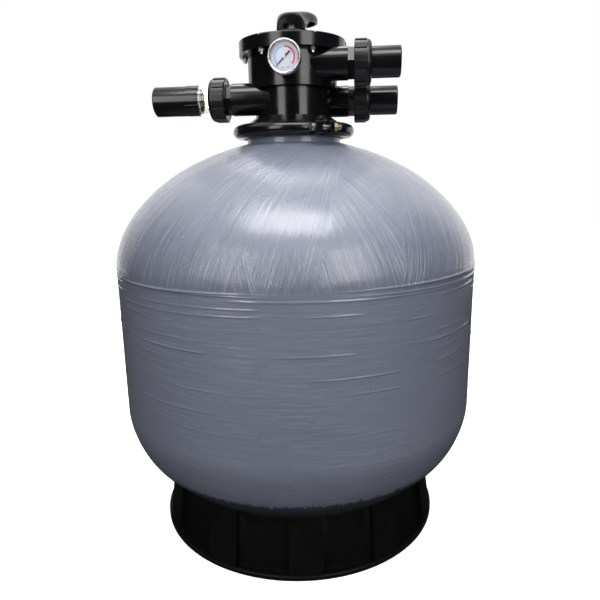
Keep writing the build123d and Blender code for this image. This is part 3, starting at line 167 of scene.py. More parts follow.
def moulding(name, colour, roughness, grain=0.00002, edge=0.0008, **sockets):
    """Black moulded plastic: fine grain, faint flow marks, a cloudy colour and softened edges."""
    paint = Paint(name, colour, roughness, IOR=1.46, **sockets)
    marks = paint.noise(18, detail=4)
    fine = paint.noise(1400, detail=2)
    paint.use("Roughness", paint.ranged(marks, 0.3, 0.7, roughness - 0.05, roughness + 0.08))
    paler = tuple(1.5 * part for part in colour)
    paint.use("Base Color", paint.mixed(paint.ranged(paint.noise(45, detail=5), 0.45, 0.8), colour, paler))
    flow = paint.bump(marks, 0.0006, 0.25)
    return paint.finish(edge, paint.bump(fine, grain, 0.6, flow))


def metal(name, colour, roughness, edge=0.0003, marks_scale=900):
    """Machined metal with fine marks, and tarnished a little in places."""
    paint = Paint(name, colour, roughness, Metallic=1.0)
    marks = paint.noise(marks_scale, detail=3)
    paint.use("Roughness", paint.ranged(marks, 0.3, 0.7, roughness * 0.7, roughness * 1.5))
    darker = [0.82 * part for part in colour]
    paint.use("Base Color", paint.mixed(paint.ranged(paint.noise(120), 0.3, 0.7), colour, darker))
    return paint.finish(edge, paint.bump(marks, 0.00002, 0.4))


def rubber():
    """Black rubber with a dull, fine grain."""
    paint = Paint("soft_rubber", (0.012, 0.012, 0.012), 0.6)
    return paint.finish(0, paint.bump(paint.noise(900), 0.00003, 0.6))


def plain_plastic(name, colour, roughness, grain=500):
    """Pale moulding with a slight mottle."""
    paint = Paint(name, colour, roughness)
    darker = [0.86 * part for part in colour]
    paint.use("Base Color", paint.mixed(paint.ranged(paint.noise(30, detail=4), 0.35, 0.7), colour, darker))
    return paint.finish(0.0004, paint.bump(paint.noise(grain), 0.00003, 0.5))


def clear(name, colour):
    """Clear moulding with a faint ripple."""
    paint = Paint(name, colour, 0.02, IOR=1.49, Transmission_Weight=1.0)
    return paint.finish(0.0004, paint.bump(paint.noise(60, detail=1), 0.0003, 0.15))


def sand_grains():
    """Filter sand of mixed pale and brown grains."""
    paint = Paint("filter_sand", (0.62, 0.52, 0.36), 0.85)
    grain = paint.node("TexVoronoi", [("Vector", paint.place()), ("Scale", 900)]).outputs["Distance"]
    paint.use("Base Color", paint.mixed(paint.noise(700), (0.48, 0.38, 0.24), (0.78, 0.70, 0.55)))
    return paint.finish(0, paint.bump(grain, 0.0006, 0.8))


def ink(name, colour):
    """Printed ink, a little uneven."""
    paint = Paint(name, colour, 0.45)
    paint.use("Base Color", paint.mixed(paint.noise(2500), colour, [0.9 * part for part in colour]))
    return paint.finish()


def wound_paint():
    """Slate paint over wound glass fibre. The mesh carries the run of the strands as attributes."""
    slate = (0.180, 0.194, 0.250)
    cloudy = (0.165, 0.180, 0.238)
    painted_highlight_tint = (0.34, 0.36, 0.43)
    patch_and_painted_shade_tint = (0.100, 0.110, 0.150)
    painted_shade_under = (0.052, 0.056, 0.072)
    strand_depth = 0.0009
    hoop_share = 0.32
    patch_share = 0.16
    painted_highlight_share = 0.50
    painted_shade_share = 0.40
    ragged_scale = 300
    ragged_blur = 0.0006
    paint = Paint("slate_paint", slate, 0.3, Coat_Weight=0.8, Coat_Roughness=0.05, IOR=1.5)
    layer = paint.attribute("layer", "Fac")
    hoops = paint.attribute("hoops", "Fac")
    patch = paint.attribute("patch", "Fac")
    # Strands: noise on coordinates in which a strand is nearly one point
    hands = []
    for way in ("strand_a", "strand_b"):
        run = paint.attribute(way)
        fine = paint.noise(900, run, detail=3, rough=0.6)
        wide = paint.noise(330, run, detail=1)
        hands.append(paint.math("ADD", fine, wide))
    fan = paint.blend(layer, hands[0], hands[1])
    round_run = paint.attribute("hoop_run")
    wraps = paint.math("ADD", paint.noise(620, round_run, detail=2), paint.noise(240, round_run, detail=1))
    relief = paint.math("SUBTRACT", paint.blend(hoops, fan, wraps), 1.0)
    thick = paint.ranged(paint.noise(4.5, detail=2), 0.40, 0.60, 0.35, 1.0)
    thick = paint.math("MULTIPLY", thick, paint.blend(hoops, 1.0, hoop_share))
    normal = paint.bump(paint.math("MULTIPLY", relief, thick), strand_depth, 0.85)
    # Colour: clouds, darker patches, and painted highlights on the raised strands with painted shade in the
    # hollows between them
    tint = paint.mixed(paint.ranged(paint.noise(6, detail=4), 0.3, 0.7), slate, cloudy)
    tint = paint.mixed(paint.math("MULTIPLY", patch, patch_share), tint, patch_and_painted_shade_tint)
    # Painted highlight where the relief stands up and painted shade where it sinks, as light falling on the
    # strands would give
    painted_strand_highlights = paint.math("MULTIPLY", paint.ranged(relief, 0.06, 0.24), thick)
    painted_strand_shade = paint.math("MULTIPLY", paint.ranged(relief, -0.06, -0.24), thick)
    tint = paint.mixed(paint.math("MULTIPLY", painted_strand_highlights, painted_highlight_share), tint, painted_highlight_tint)
    tint = paint.mixed(paint.math("MULTIPLY", painted_strand_shade, painted_shade_share), tint, patch_and_painted_shade_tint)
    # The strands end in a ragged edge, and below it the colour is painted shade, where the dome turns under
    # into shadow
    height = paint.node("SeparateXYZ", [("Vector", paint.place())]).outputs["Z"]
    ragged = paint.noise(ragged_scale, paint.attribute("strand_b"), detail=2)
    height = paint.math("ADD", height, paint.math("MULTIPLY", ragged, winding_teeth))
    level = winding_end + winding_teeth / 2
    tint = paint.mixed(paint.ranged(height, level - ragged_blur, level + ragged_blur), painted_shade_under, tint)
    paint.use("Base Color", tint)
    paint.use("Coat Normal", normal)
    paint.use("Roughness", paint.ranged(paint.noise(25, detail=4), 0.3, 0.7, 0.26, 0.40))
    return paint.finish(0, normal)


def smooth_paint():
    """The same slate paint on the neck and the drain's pad, without strands."""
    paint = Paint("slate_paint_smooth", (0.215, 0.24, 0.32), 0.3, Coat_Weight=0.35, Coat_Roughness=0.1)
    return paint.finish(0.0006, paint.bump(paint.noise(90, detail=4), 0.0006, 0.35))


# Mesh helpers


def add_object(name, mesh, *materials):
    """Object of a mesh, at the origin, with its materials."""
    made = bpy.data.objects.new(name, mesh)
    scene.collection.objects.link(made)
    for material in materials:
        mesh.materials.append(material)
    return made


def grid_mesh(name, places, closed_rows=False):
    """Mesh of an array of points, rows by columns; the columns close on themselves."""
    rows, columns = places.shape[:2]
    mesh = bpy.data.meshes.new(name)
    mesh.vertices.add(rows * columns)
    mesh.vertices.foreach_set("co", places.astype(np.float32).ravel())
    first = np.arange(rows - 1 + closed_rows)[:, None]
    second = (first + 1) % rows
    here = np.arange(columns)[None, :]
    there = (here + 1) % columns
    first, second = first * columns, second * columns
    corners = np.stack([first + here, second + here, second + there, first + there], axis=-1).reshape(-1, 4)
    mesh.loops.add(corners.size)
    mesh.loops.foreach_set("vertex_index", corners.astype(np.int32).ravel())
    mesh.polygons.add(len(corners))
    mesh.polygons.foreach_set("loop_start", np.arange(0, corners.size, 4, dtype=np.int32))
    mesh.update(calc_edges=True)
    mesh.validate()
    mesh.shade_smooth()
    return mesh


def lathe(name, outline, material, axis, segments):
    """Ring or disc turned from (radius, height) points about the z axis of a matrix."""
    turns = np.arange(segments) * 2 * math.pi / segments
    rings = np.array([[[r * math.cos(t), r * math.sin(t), h] for t in turns] for r, h in outline])
    mesh = grid_mesh(name, rings, closed_rows=True)
    mesh.transform(axis)
    return add_object(name, mesh, material)


def welded(mesh, add=None):
    """Joins points that lie on each other, adds what a builder makes, and turns the faces outwards."""
    same = 0.000005
    work = bmesh.new()
    work.from_mesh(mesh)
    bmesh.ops.remove_doubles(work, verts=work.verts, dist=same)
    bmesh.ops.dissolve_degenerate(work, edges=work.edges, dist=same)
    if add:
        add(work)
    bmesh.ops.recalc_face_normals(work, faces=work.faces)
    work.to_mesh(mesh)
    work.free()


# Tank


def top_dome(radius, inset):
    """Height of the upper dome at a radius, at a depth under its outside."""
    share = np.clip(radius / (tank_radius - inset), 0, 1)
    return top_start + (top_rise - inset) * (1 - share**top_power) ** (1 / top_power)


def bottom_dome(radius, inset):
    """Height of the lower dome at a radius, at a depth under its outside."""
    share = np.clip(radius / (tank_radius - inset), 0, 1)
    return bottom_start - (bottom_rise - inset) * np.sqrt(1 - share**2)


def tank_profile(inset, rows):
    """Points (radius, height) down the tank, from the edge of its hole to the middle of its floor."""
    top_rows, side_rows, bottom_rows = rows
    last = math.acos((neck_hole / (tank_radius - inset)) ** (top_power / 2))
    turns = np.linspace(last, 0, top_rows, endpoint=False)
    top_radii = (tank_radius - inset) * np.cos(turns) ** (2 / top_power)
    top = np.stack([top_radii, top_dome(top_radii, inset)], axis=1)
    heights = np.linspace(top_start, bottom_start, side_rows, endpoint=False)
    side = np.stack([np.full(side_rows, tank_radius - inset), heights], axis=1)
    turns = np.linspace(math.pi / 2, floor_turn, bottom_rows)
    bottom_radii = (tank_radius - inset) * np.sin(turns)
    bottom = np.stack([bottom_radii, bottom_dome(bottom_radii, inset)], axis=1)
    return np.concatenate([top, side, bottom])


def steps(places, count, seed):
    """Random levels in equal bands round a circle, with a short ramp between two bands."""
    blend = 0.08
    levels = np.random.default_rng(seed).random(count)
    spot = (places / (2 * math.pi) % 1) * count
    band = np.floor(spot).astype(int) % count
    ramp = np.clip((spot - np.floor(spot) - 1 + blend) / blend, 0, 1)
    return levels[band] * (1 - ramp) + levels[(band + 1) % count] * ramp


def waves(places, count, seed):
    """Smooth random values round a circle."""
    levels = np.random.default_rng(seed).random(count)
    spot = (places / (2 * math.pi) % 1) * count
    band = np.floor(spot).astype(int)
    share = spot - band
    share = share * share * (3 - 2 * share)
    return levels[band % count] * (1 - share) + levels[(band + 1) % count] * share


def smooth_step(value, low, high):
    """Share that rises from 0 at the low value to 1 at the high one."""
    share = np.clip((value - low) / (high - low), 0, 1)
    return share * share * (3 - 2 * share)


# On the dome the strands touch a circle of the radius winding_reach round the axis. They end near the height
# winding_end, within winding_teeth, below which the paint is painted shade, and lie inside the solid's
# outside, which is what winding_room is for.
winding_reach = 0.085
winding_end = 0.157
winding_teeth = 0.030
winding_room = 0.0019
# The two layers of the dome: bands in each, with how thick they are, and strands that stand out on them
band_counts = (17, 19)
band_seeds = (3, 8)
band_thick = 0.0005
strand_count = 240
strand_seeds = (5, 6)
strand_thick = 0.00035
# Hoops on the side, below the dome's edge: how many there are in a height, how far and how often they wander,
# where they fade downwards, and the dashes that they break into
dome_edge = (0.484, 0.496)
hoop_thick = 0.0004
hoop_relief = 0.00020
hoop_count = 180
hoop_seed = 41
hoop_height = 0.6
hoop_wander = 0.0012
wander_swings = 9
wander_seed = 40
hoop_fade = (winding_end, 0.30)
hoop_dashes = 23
hoop_slant = 9
dash_seed = 50
dash_edges = (0.25, 0.75)
# Thick bands of strands round the shoulder and the side: height, swing, phase in degrees and thickness.
# Those over shoulder_bands run a long way round, and those below it are dashes.
shoulder_bands = 0.478
long_dashes = 9
long_edges = (0.1, 0.75)
short_dashes = 29
short_edges = (0.45, 0.75)
ridge_seed = 70
ridge_width = 0.0013
ridge_wander = 0.0007
ridge_swings = 11
ridges = [
    (0.4925, 0.0022, 20, 0.0010),
    (0.4898, 0.0030, 75, 0.0012),
    (0.4866, 0.0026, 140, 0.0011),
    (0.4838, 0.0034, 260, 0.0010),
    (0.4800, 0.0024, 330, 0.0007),
    (0.4690, 0.0020, 40, 0.0005),
    (0.4560, 0.0025, 110, 0.0005),
    (0.4400, 0.0020, 200, 0.0005),
    (0.4180, 0.0022, 290, 0.0004),
    (0.4029, 0.0018, 10, 0.0006),
    (0.3850, 0.0020, 160, 0.0004),
    (0.3664, 0.0018, 70, 0.0006),
    (0.3420, 0.0020, 230, 0.0004),
    (0.3100, 0.0018, 120, 0.0004),
    (0.2800, 0.0016, 310, 0.0003),
]
# Where the winding sits deeper, to stay inside the solid
room_radii = (0.20, 0.30)
room_heights = (0.15, 0.20)
# Coordinates of the strands for the paint: radius of the dome's and the hoops' circles, and how much a strand
# drifts along its length
fan_circle = 0.25
hoop_circle = 0.02
strand_drift = 0.03
paint_wander = 0.002
# The mesh: points round it, and rows on the upper dome, the side and the lower dome
tank_columns = 720
tank_rows = (170, 300, 110)
inner_rows = (12, 4, 12)


def strand_turn(radii, steps_down):
    """How far round a strand has run by each row: it leaves the neck sideways, then straightens."""
    most_lean = 0.98
    lean = np.minimum(winding_reach / radii, most_lean)
    turn_rate = np.tan(np.arcsin(lean)) / np.maximum(radii, neck_hole)
    run = np.concatenate([[0], np.cumsum(turn_rate[1:] * steps_down)])
    return np.minimum(run, run[radii > neck_hole].max())


def dome_relief(strand_a, strand_b):
    """Relief of the dome's two layers, the share of the second one on top, and the bands' levels."""
    level_a = steps(strand_a, band_counts[0], band_seeds[0])
    level_b = steps(strand_b, band_counts[1], band_seeds[1])
    layer = smooth_step(level_b - level_a, -0.02, 0.02)
    level = np.maximum(level_a, level_b)
    strands_a = waves(strand_a, strand_count, strand_seeds[0])
    strands_b = waves(strand_b, strand_count, strand_seeds[1])
    relief = band_thick * level + strand_thick * ((1 - layer) * strands_a + layer * strands_b)
    return relief, layer, level


def hoop_lines(angle, height):
    """Relief of the fine hoops, which fade downwards and break into dashes."""
    least = 0.15
    wandering = height + hoop_wander * waves(angle, wander_swings, wander_seed)
    lines = waves(wandering * 2 * math.pi / hoop_height, hoop_count, hoop_seed)
    dashes = smooth_step(waves(angle + hoop_slant * height, hoop_dashes, dash_seed), *dash_edges)
    return hoop_relief * lines * (least + (1 - least) * smooth_step(height, *hoop_fade) * dashes)


def ridge_lines(angle, height):
    """Relief of the thick bands."""
    relief = 0
    for count, (level, swing, phase, proud) in enumerate(ridges):
        centre = level + swing * np.sin(angle + math.radians(phase))
        centre = centre + ridge_wander * waves(angle, ridge_swings, count)
        if level > shoulder_bands:
            share = smooth_step(waves(angle, long_dashes, ridge_seed + count), *long_edges)
        else:
            share = smooth_step(waves(angle, short_dashes, ridge_seed + count), *short_edges)
        relief = relief + proud * share * np.exp(-(((height - centre) / ridge_width) ** 2))
    return relief


def turned(radii, heights, angle):
    """Points round the axis, rows by columns."""
    return np.stack([radii * np.cos(angle), radii * np.sin(angle), heights + 0 * angle], axis=-1)


def wound_tank():
    """Painted tank with its windings: two crossing layers of strands on the dome, hoops on the side."""
    profile = tank_profile(0.0, tank_rows)
    radii, heights = profile[:, 0], profile[:, 1]
    steps_down = np.hypot(np.diff(radii), np.diff(heights))
    along = np.concatenate([[0], np.cumsum(steps_down)])
    turn = strand_turn(radii, steps_down)
    angle = (np.arange(tank_columns) * 2 * math.pi / tank_columns)[None, :]
    strand_a = angle + turn[:, None]
    strand_b = angle - turn[:, None]
    height = heights[:, None] + 0 * angle
    dome = smooth_step(height, *dome_edge)
    hoops = 1 - dome
    relief, layer, level = dome_relief(strand_a, strand_b)
    relief = relief * dome + hoops * (hoop_thick + hoop_lines(angle, height)) + ridge_lines(angle, height)
    deeper = smooth_step(radii, *room_radii) * smooth_step(heights, *room_heights)
    relief = relief - winding_room * deeper[:, None]
    slope = np.gradient(profile, axis=0)
    slope = slope / np.hypot(slope[:, 0], slope[:, 1])[:, None]
    out_radius, out_height = -slope[:, 1:], slope[:, :1]
    outer = turned(radii[:, None] + relief * out_radius, height + relief * out_height, angle)
    profile = tank_profile(tank_wall, inner_rows)
    inner = turned(profile[:, :1], profile[:, 1:], angle)
    mesh = grid_mesh("tank_wound", np.concatenate([outer[::-1], inner]))

    def carry(name, kind, values):
        """Stores values of the outer rows on the mesh; the inner rows get zeros."""
        width = 3 if kind == "FLOAT_VECTOR" else 1
        spare = np.zeros(width * len(inner) * tank_columns)
        data = np.concatenate([values[::-1].reshape(-1), spare]).astype(np.float32)
        store = mesh.attributes.new(name, kind, "POINT").data
        store.foreach_set("vector" if width == 3 else "value", data)

    drift = along[:, None] * strand_drift
    wandering = height + paint_wander * waves(angle, wander_swings, wander_seed)
    carry("strand_a", "FLOAT_VECTOR", turned(fan_circle, drift, strand_a))
    carry("strand_b", "FLOAT_VECTOR", turned(fan_circle, drift, strand_b))
    carry("hoop_run", "FLOAT_VECTOR", turned(hoop_circle, wandering, angle + 0 * height))
    carry("layer", "FLOAT", layer)
    carry("hoops", "FLOAT", hoops)
    carry("patch", "FLOAT", level * dome)
    tank = add_object("tank_wound", mesh, wound_paint())
    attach(tank, "tank")
    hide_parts("tank_shell")


# Handle: lengths from the middle of its pin, +Y towards the paddle

lever_wall = 0.0036
least_half = 0.0005
lever_web = (0.0160, 0.0280)
hub_half_slot = 0.0095
hub_slot_rise = 0.0123
hub_slot_square = 3.0
hub_front_wall = 0.0040
hub_notch = (0.0235, 0.0070, 0.0180)
hub_notch_place = (0, -0.0195, -0.0106)
pin_hole_radius = 0.0041
pin_hole_length = 0.06
paddle_tip = 0.1195
paddle_end = 0.126
paddle_half = 0.0386
paddle_droop = 0.0075
rib_place = 0.012
rib_half = 0.0015
rib_end = 0.1185
rib_inset = 0.0012
rib_sunk = 0.0022
# Sections of the lever: place along it, half width, top and foot over the pin, and how square its shoulders
# are. The front edge of the hub takes the first few, which are set close.
lever_sections = [
    (-0.0200, 0.0226, 0.0128, -0.0098, 2.2),
    (-0.0195, 0.0237, 0.0146, -0.0104, 2.2),
    (-0.0185, 0.0243, 0.0160, -0.0106, 2.3),
    (-0.0165, 0.0246, 0.0172, -0.0106, 2.4),
    (-0.0120, 0.0247, 0.0182, -0.0106, 2.4),
    (0.0000, 0.0247, 0.0195, -0.0106, 2.4),
    (0.0080, 0.0246, 0.0206, -0.0090, 2.4),
    (0.0160, 0.0244, 0.0222, -0.0035, 2.5),
    (0.0240, 0.0243, 0.0248, 0.0040, 2.6),
    (0.0340, 0.0250, 0.0292, 0.0100, 3.0),
    (0.0460, 0.0274, 0.0340, 0.0160, 3.6),
    (0.0600, 0.0318, 0.0376, 0.0200, 4.2),
    (0.0750, 0.0360, 0.0394, 0.0225, 4.6),
    (0.0900, 0.0385, 0.0400, 0.0240, 4.6),
]
lever_edge = lever_sections[4][0]


def lever_section(y):
    """Half width, top, foot and squareness of the lever at a place along it, on a smooth curve."""
    places = np.array([section[0] for section in lever_sections])
    values = np.array([section[1:] for section in lever_sections])
    if y >= places[-1]:
        share = (y - places[-1]) / (paddle_end - places[-1])
        round_half = math.sqrt(max(paddle_half**2 - (y - paddle_end + paddle_half) ** 2, 0))
        half, top, foot, square = values[-1]
        return min(round_half, half), top - paddle_droop * share**3, foot, square
    after = int(np.searchsorted(places, y, side="right"))
    spot = (y - places[after - 1]) / (places[after] - places[after - 1])
    first = values[max(after - 2, 0)]
    second, third = values[after - 1], values[after]
    fourth = values[min(after + 1, len(values) - 1)]
    if y < lever_edge:
        # Straight from one section to the next
        first, fourth = 2 * second - third, 2 * third - second
    slope = third - first
    bend = 2 * first - 5 * second + 4 * third - fourth
    twist = 3 * second - first - 3 * third + fourth
    return tuple(0.5 * (2 * second + slope * spot + bend * spot**2 + twist * spot**3))


def arch(half, top, foot, square, y):
    """Rounded arch across the lever, from its left foot over the top to its right foot."""
    corners = 33
    turns = np.linspace(math.pi, 0, corners)
    x = half * np.sign(np.cos(turns)) * np.abs(np.cos(turns)) ** (2 / square)
    z = foot + (top - foot) * np.abs(np.sin(turns)) ** (2 / square)
    return np.stack([x, np.full(corners, y), z], axis=1)


def lever_rows():
    """Rows of points round the lever's walls: outside over the top, then back along the hollow."""
    front, widest = lever_sections[0][0], lever_sections[-1][0]
    breaks = [front + hub_front_wall, *lever_web, paddle_end - lever_wall]
    tip = np.sin(np.linspace(0, math.pi / 2, 12))
    places = set(np.round(np.concatenate([
        np.linspace(front, lever_edge, 12),
        np.linspace(lever_edge, widest, 44),
        np.linspace(widest, paddle_tip, 14),
        paddle_tip + (paddle_end - paddle_tip) * tip,
    ]), 6))
    # Solid up to the first break, hollow to the second, and so on, with a row of each kind at a break
    stations = [(y, 0, sum(y > stop for stop in breaks) % 2 == 0) for y in places]
    for count, y in enumerate(breaks):
        stations += [(y, 0, count % 2 == 0), (y, 1, count % 2 == 1)]
    rows = []
    for y, _, solid in sorted(stations):
        half, top, foot, square = lever_section(y)
        outer = arch(half, top, foot, square, y)
        if solid:
            inner = np.tile([0, y, foot], (len(outer), 1))
        elif y < breaks[2]:
            inner = arch(hub_half_slot, hub_slot_rise, foot, hub_slot_square, y)
        else:
            inner = arch(max(half - lever_wall, least_half), top - lever_wall, foot, square, y)
        rows.append(np.concatenate([outer, inner[::-1]]))
    caps = [np.tile(row.mean(axis=0), (len(row), 1)) for row in (rows[0], rows[-1])]
    return np.stack([caps[0]] + rows + [caps[1]])


def solid_mesh(name, builder):
    """Mesh that a builder makes in a bmesh."""
    mesh = bpy.data.meshes.new(name)
    work = bmesh.new()
    builder(work)
    bmesh.ops.recalc_face_normals(work, faces=work.faces)
    work.to_mesh(mesh)
    work.free()
    return mesh


def lever_ribs(work):
    """Two ribs along the lever's hollow, made in a bmesh."""
    spine = [(y, *lever_section(y)) for y in np.linspace(lever_web[1] - 0.001, rib_end, 24)]
    outline = [(y, foot + rib_inset) for y, half, top, foot, square in spine]
    outline += [(y, top - rib_sunk) for y, half, top, foot, square in spine[::-1]]
    for x in (-rib_place, rib_place):
        left = [work.verts.new((x - rib_half, y, z)) for y, z in outline]
        right = [work.verts.new((x + rib_half, y, z)) for y, z in outline]
        work.faces.new(left)
        work.faces.new(right[::-1])
        for corner in range(len(outline)):
            after = (corner + 1) % len(outline)
            work.faces.new((left[corner], right[corner], right[after], left[after]))


def lever(material):
    """Selector lever with its arched hub, ribbed hollow, notch and pin hole, in place of the plain one."""
    low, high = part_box("handle_pin")
    body = grid_mesh("selector_lever", lever_rows())
    welded(body, lever_ribs)
    piece = add_object("selector_lever", body, material)

    def notch(cutter):
        size = Matrix.Diagonal((*hub_notch, 1))
        bmesh.ops.create_cube(cutter, size=1, matrix=Matrix.Translation(hub_notch_place) @ size)

    def hole(cutter):
        turn = Matrix.Rotation(math.pi / 2, 4, "Y")
        bmesh.ops.create_cone(cutter, cap_ends=True, segments=48, radius1=pin_hole_radius,
                              radius2=pin_hole_radius, depth=pin_hole_length, matrix=turn)

    for name, builder in (("lever_notch", notch), ("lever_pin_hole", hole)):
        tool = bpy.data.objects.new(name, solid_mesh(name, builder))
        cut = piece.modifiers.new(name, "BOOLEAN")
        cut.object = tool
        cut.operation = "DIFFERENCE"
        cut.solver = "EXACT"
        scene.collection.objects.link(tool)
        bpy.context.view_layer.update()
        cut_piece = piece.evaluated_get(bpy.context.evaluated_depsgraph_get())
        done = bpy.data.meshes.new_from_object(cut_piece)
        piece.modifiers.clear()
        piece.data = done
        bpy.data.objects.remove(tool)
    piece.data.transform(Matrix.Translation((low + high) / 2))
    piece.data.shade_smooth()
    piece.data.set_sharp_from_angle(angle=math.radians(38))
    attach(piece, "handle")
    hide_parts("handle")


# Spring over the rotor. The handle's press lifts the rotor by rotor_rise; this coil moves with the selector
# and keeps its length.

spring_radius = 0.0205
spring_wire = 0.0022
spring_turns = 4
spring_steps = 48
wire_corners = 14


def rotor_coil(material):
    """Coil spring over the rotor, which moves with the selector."""
    low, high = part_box("rotor_spring")
    turns = np.linspace(0, spring_turns * 2 * math.pi, spring_turns * spring_steps + 1)
    heights = np.linspace(low.z + spring_wire, high.z - spring_wire, len(turns))
    centres = turned(spring_radius, heights, turns)
    out = turned(1, 0 * heights, turns)
    rise = np.full(len(turns), (heights[-1] - heights[0]) / turns[-1])
    along = turned(spring_radius, rise, turns + math.pi / 2)
    side = np.cross(along / np.linalg.norm(along, axis=1)[:, None], out)
    corners = (np.arange(wire_corners) * 2 * math.pi / wire_corners)[None, :, None]
    rows = centres[:, None] + spring_wire * (np.cos(corners) * out[:, None] + np.sin(corners) * side[:, None])
    caps = [np.tile(centre, (1, wire_corners, 1)) for centre in (centres[0], centres[-1])]
    mesh = grid_mesh("rotor_coil", np.concatenate([caps[0], rows, caps[1]]))
    welded(mesh)
    coil = add_object("rotor_coil", mesh, material)
    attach(coil, "selector")
    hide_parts("rotor_spring")
    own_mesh(coil)


# Gauge print


def gauge_frame():
    """Matrix of the dial's face: its x right, its y up and its z towards the front."""
    low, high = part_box("gauge_dial")
    centre = (low + high) / 2
    turn = Matrix(((1, 0, 0, 0), (0, 0, -1, 0), (0, 1, 0, 0), (0, 0, 0, 1)))
    return Matrix.Translation((centre.x, low.y, centre.z)) @ turn


# The dial: turns in radians, clockwise from its top, and the radii and sizes of its print, marks and screws
dial_turn = math.radians(-5)
scale_start = math.radians(-135)
scale_end = math.radians(135)
scale_gap = 0.03
ink_lift = 0.00006
band_radii = (0.0144, 0.0168)
mark_count = 40
marks_to_long = 5
mark_middle = 0.019
mark_end = 0.0195
long_mark = (0.0174, 0.00018)
short_mark = (0.0182, 0.0001)
number_count = 5
number_radius = 0.0118
number_size = 0.0034
number_thick = 0.00003
number_lift = 0.00004
screw_radius = 0.0160
screw_turn = 0.26
# Outlines of the dial's screws and of the needle's hub: radius and height
screw_head = [(0.0001, 0.0005), (0.0009, 0.0005), (0.0011, 0.0002), (0.0011, -0.0002), (0.0001, -0.0002)]
hub_ring = [(0.0009, 0.0), (0.0009, 0.0004), (0.0012, 0.0006)]
hub_ring += [(0.0019, 0.0006), (0.0022, 0.0003), (0.0022, 0.0)]


def dial_point(radius, turn, lift=ink_lift):
    """Point on the dial at a turn clockwise from its top."""
    angle = turn + dial_turn
    return (radius * math.sin(angle), radius * math.cos(angle), lift)


def flat_print(name, outlines, material):
    """Thin print on the dial, made of closed outlines given as points."""
    verts, faces = [], []
    for outline in outlines:
        start, count = len(verts), len(outline)
        verts += outline + [(x, y, 0.0) for x, y, z in outline]
        faces.append(range(start, start + count))
        faces.append(range(start + 2 * count - 1, start + count - 1, -1))
        for corner in range(count):
            after = (corner + 1) % count
            faces.append((start + corner, start + count + corner, start + count + after, start + after))
    mesh = bpy.data.meshes.new(name)
    mesh.from_pydata(verts, [], [tuple(face)[::-1] for face in faces])
    mesh.update()
    mesh.transform(gauge_frame())
    made = add_object(name, mesh, material)
    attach(made, "valve")


def arc_band(start, end, inner, outer):
    """Outline of a band round the dial between two turns."""
    parts = 40
    turns = [start + (end - start) * step / parts for step in range(parts + 1)]
    return [dial_point(outer, turn) for turn in turns] + [dial_point(inner, turn) for turn in turns[::-1]]


def gauge_print(chrome):
    """Bands, marks and numbers of the dial, its two screws and the needle's plated hub."""
    blue = ink("scale_blue", (0.20, 0.50, 0.80))
    red = ink("scale_red", (0.62, 0.02, 0.03))
    black = ink("scale_black", (0.03, 0.03, 0.04))
    flat_print("dial_low_band", [arc_band(scale_start, -scale_gap, *band_radii)], blue)
    flat_print("dial_high_band", [arc_band(scale_gap, scale_end, *band_radii)], red)
    marks = []
    for step in range(mark_count + 1):
        turn = scale_start + (scale_end - scale_start) * step / mark_count
        inner, half = long_mark if step % marks_to_long == 0 else short_mark
        marks.append(arc_band(turn - half / mark_middle, turn + half / mark_middle, inner, mark_end))
    flat_print("dial_marks", marks, black)
    for step in range(number_count):
        turn = scale_start + (scale_end - scale_start) * step / (number_count - 1)
        text = bpy.data.curves.new(f"dial_number_{step}", "FONT")
        text.body = str(step)
        text.size = number_size
        text.align_x = "CENTER"
        text.align_y = "CENTER"
        text.extrude = number_thick
        number = bpy.data.objects.new(f"dial_number_{step}", text)
        scene.collection.objects.link(number)
        text.materials.append(black)
        place = Matrix.Translation(dial_point(number_radius, turn, number_lift))
        number.matrix_world = gauge_frame() @ place
        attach(number, "valve")
    screw = metal("dial_screw_grey", (0.25, 0.25, 0.27), 0.4)
    for name, side in (("dial_screw_left", -1), ("dial_screw_right", 1)):
        spot = Matrix.Translation(dial_point(screw_radius, math.pi - side * screw_turn, 0))
        made = lathe(name, screw_head, screw, gauge_frame() @ spot, 24)
        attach(made, "valve")
    needle_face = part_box("gauge_needle")[0].y
    middle = gauge_frame().translation
    spot = Matrix.Translation((middle.x, needle_face, middle.z)) @ Matrix.Rotation(math.pi / 2, 4, "X")
    hub = lathe("needle_hub_ring", hub_ring, chrome, spot, 48)
    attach(hub, "gauge_needle")


# Looks of the frame's nodes


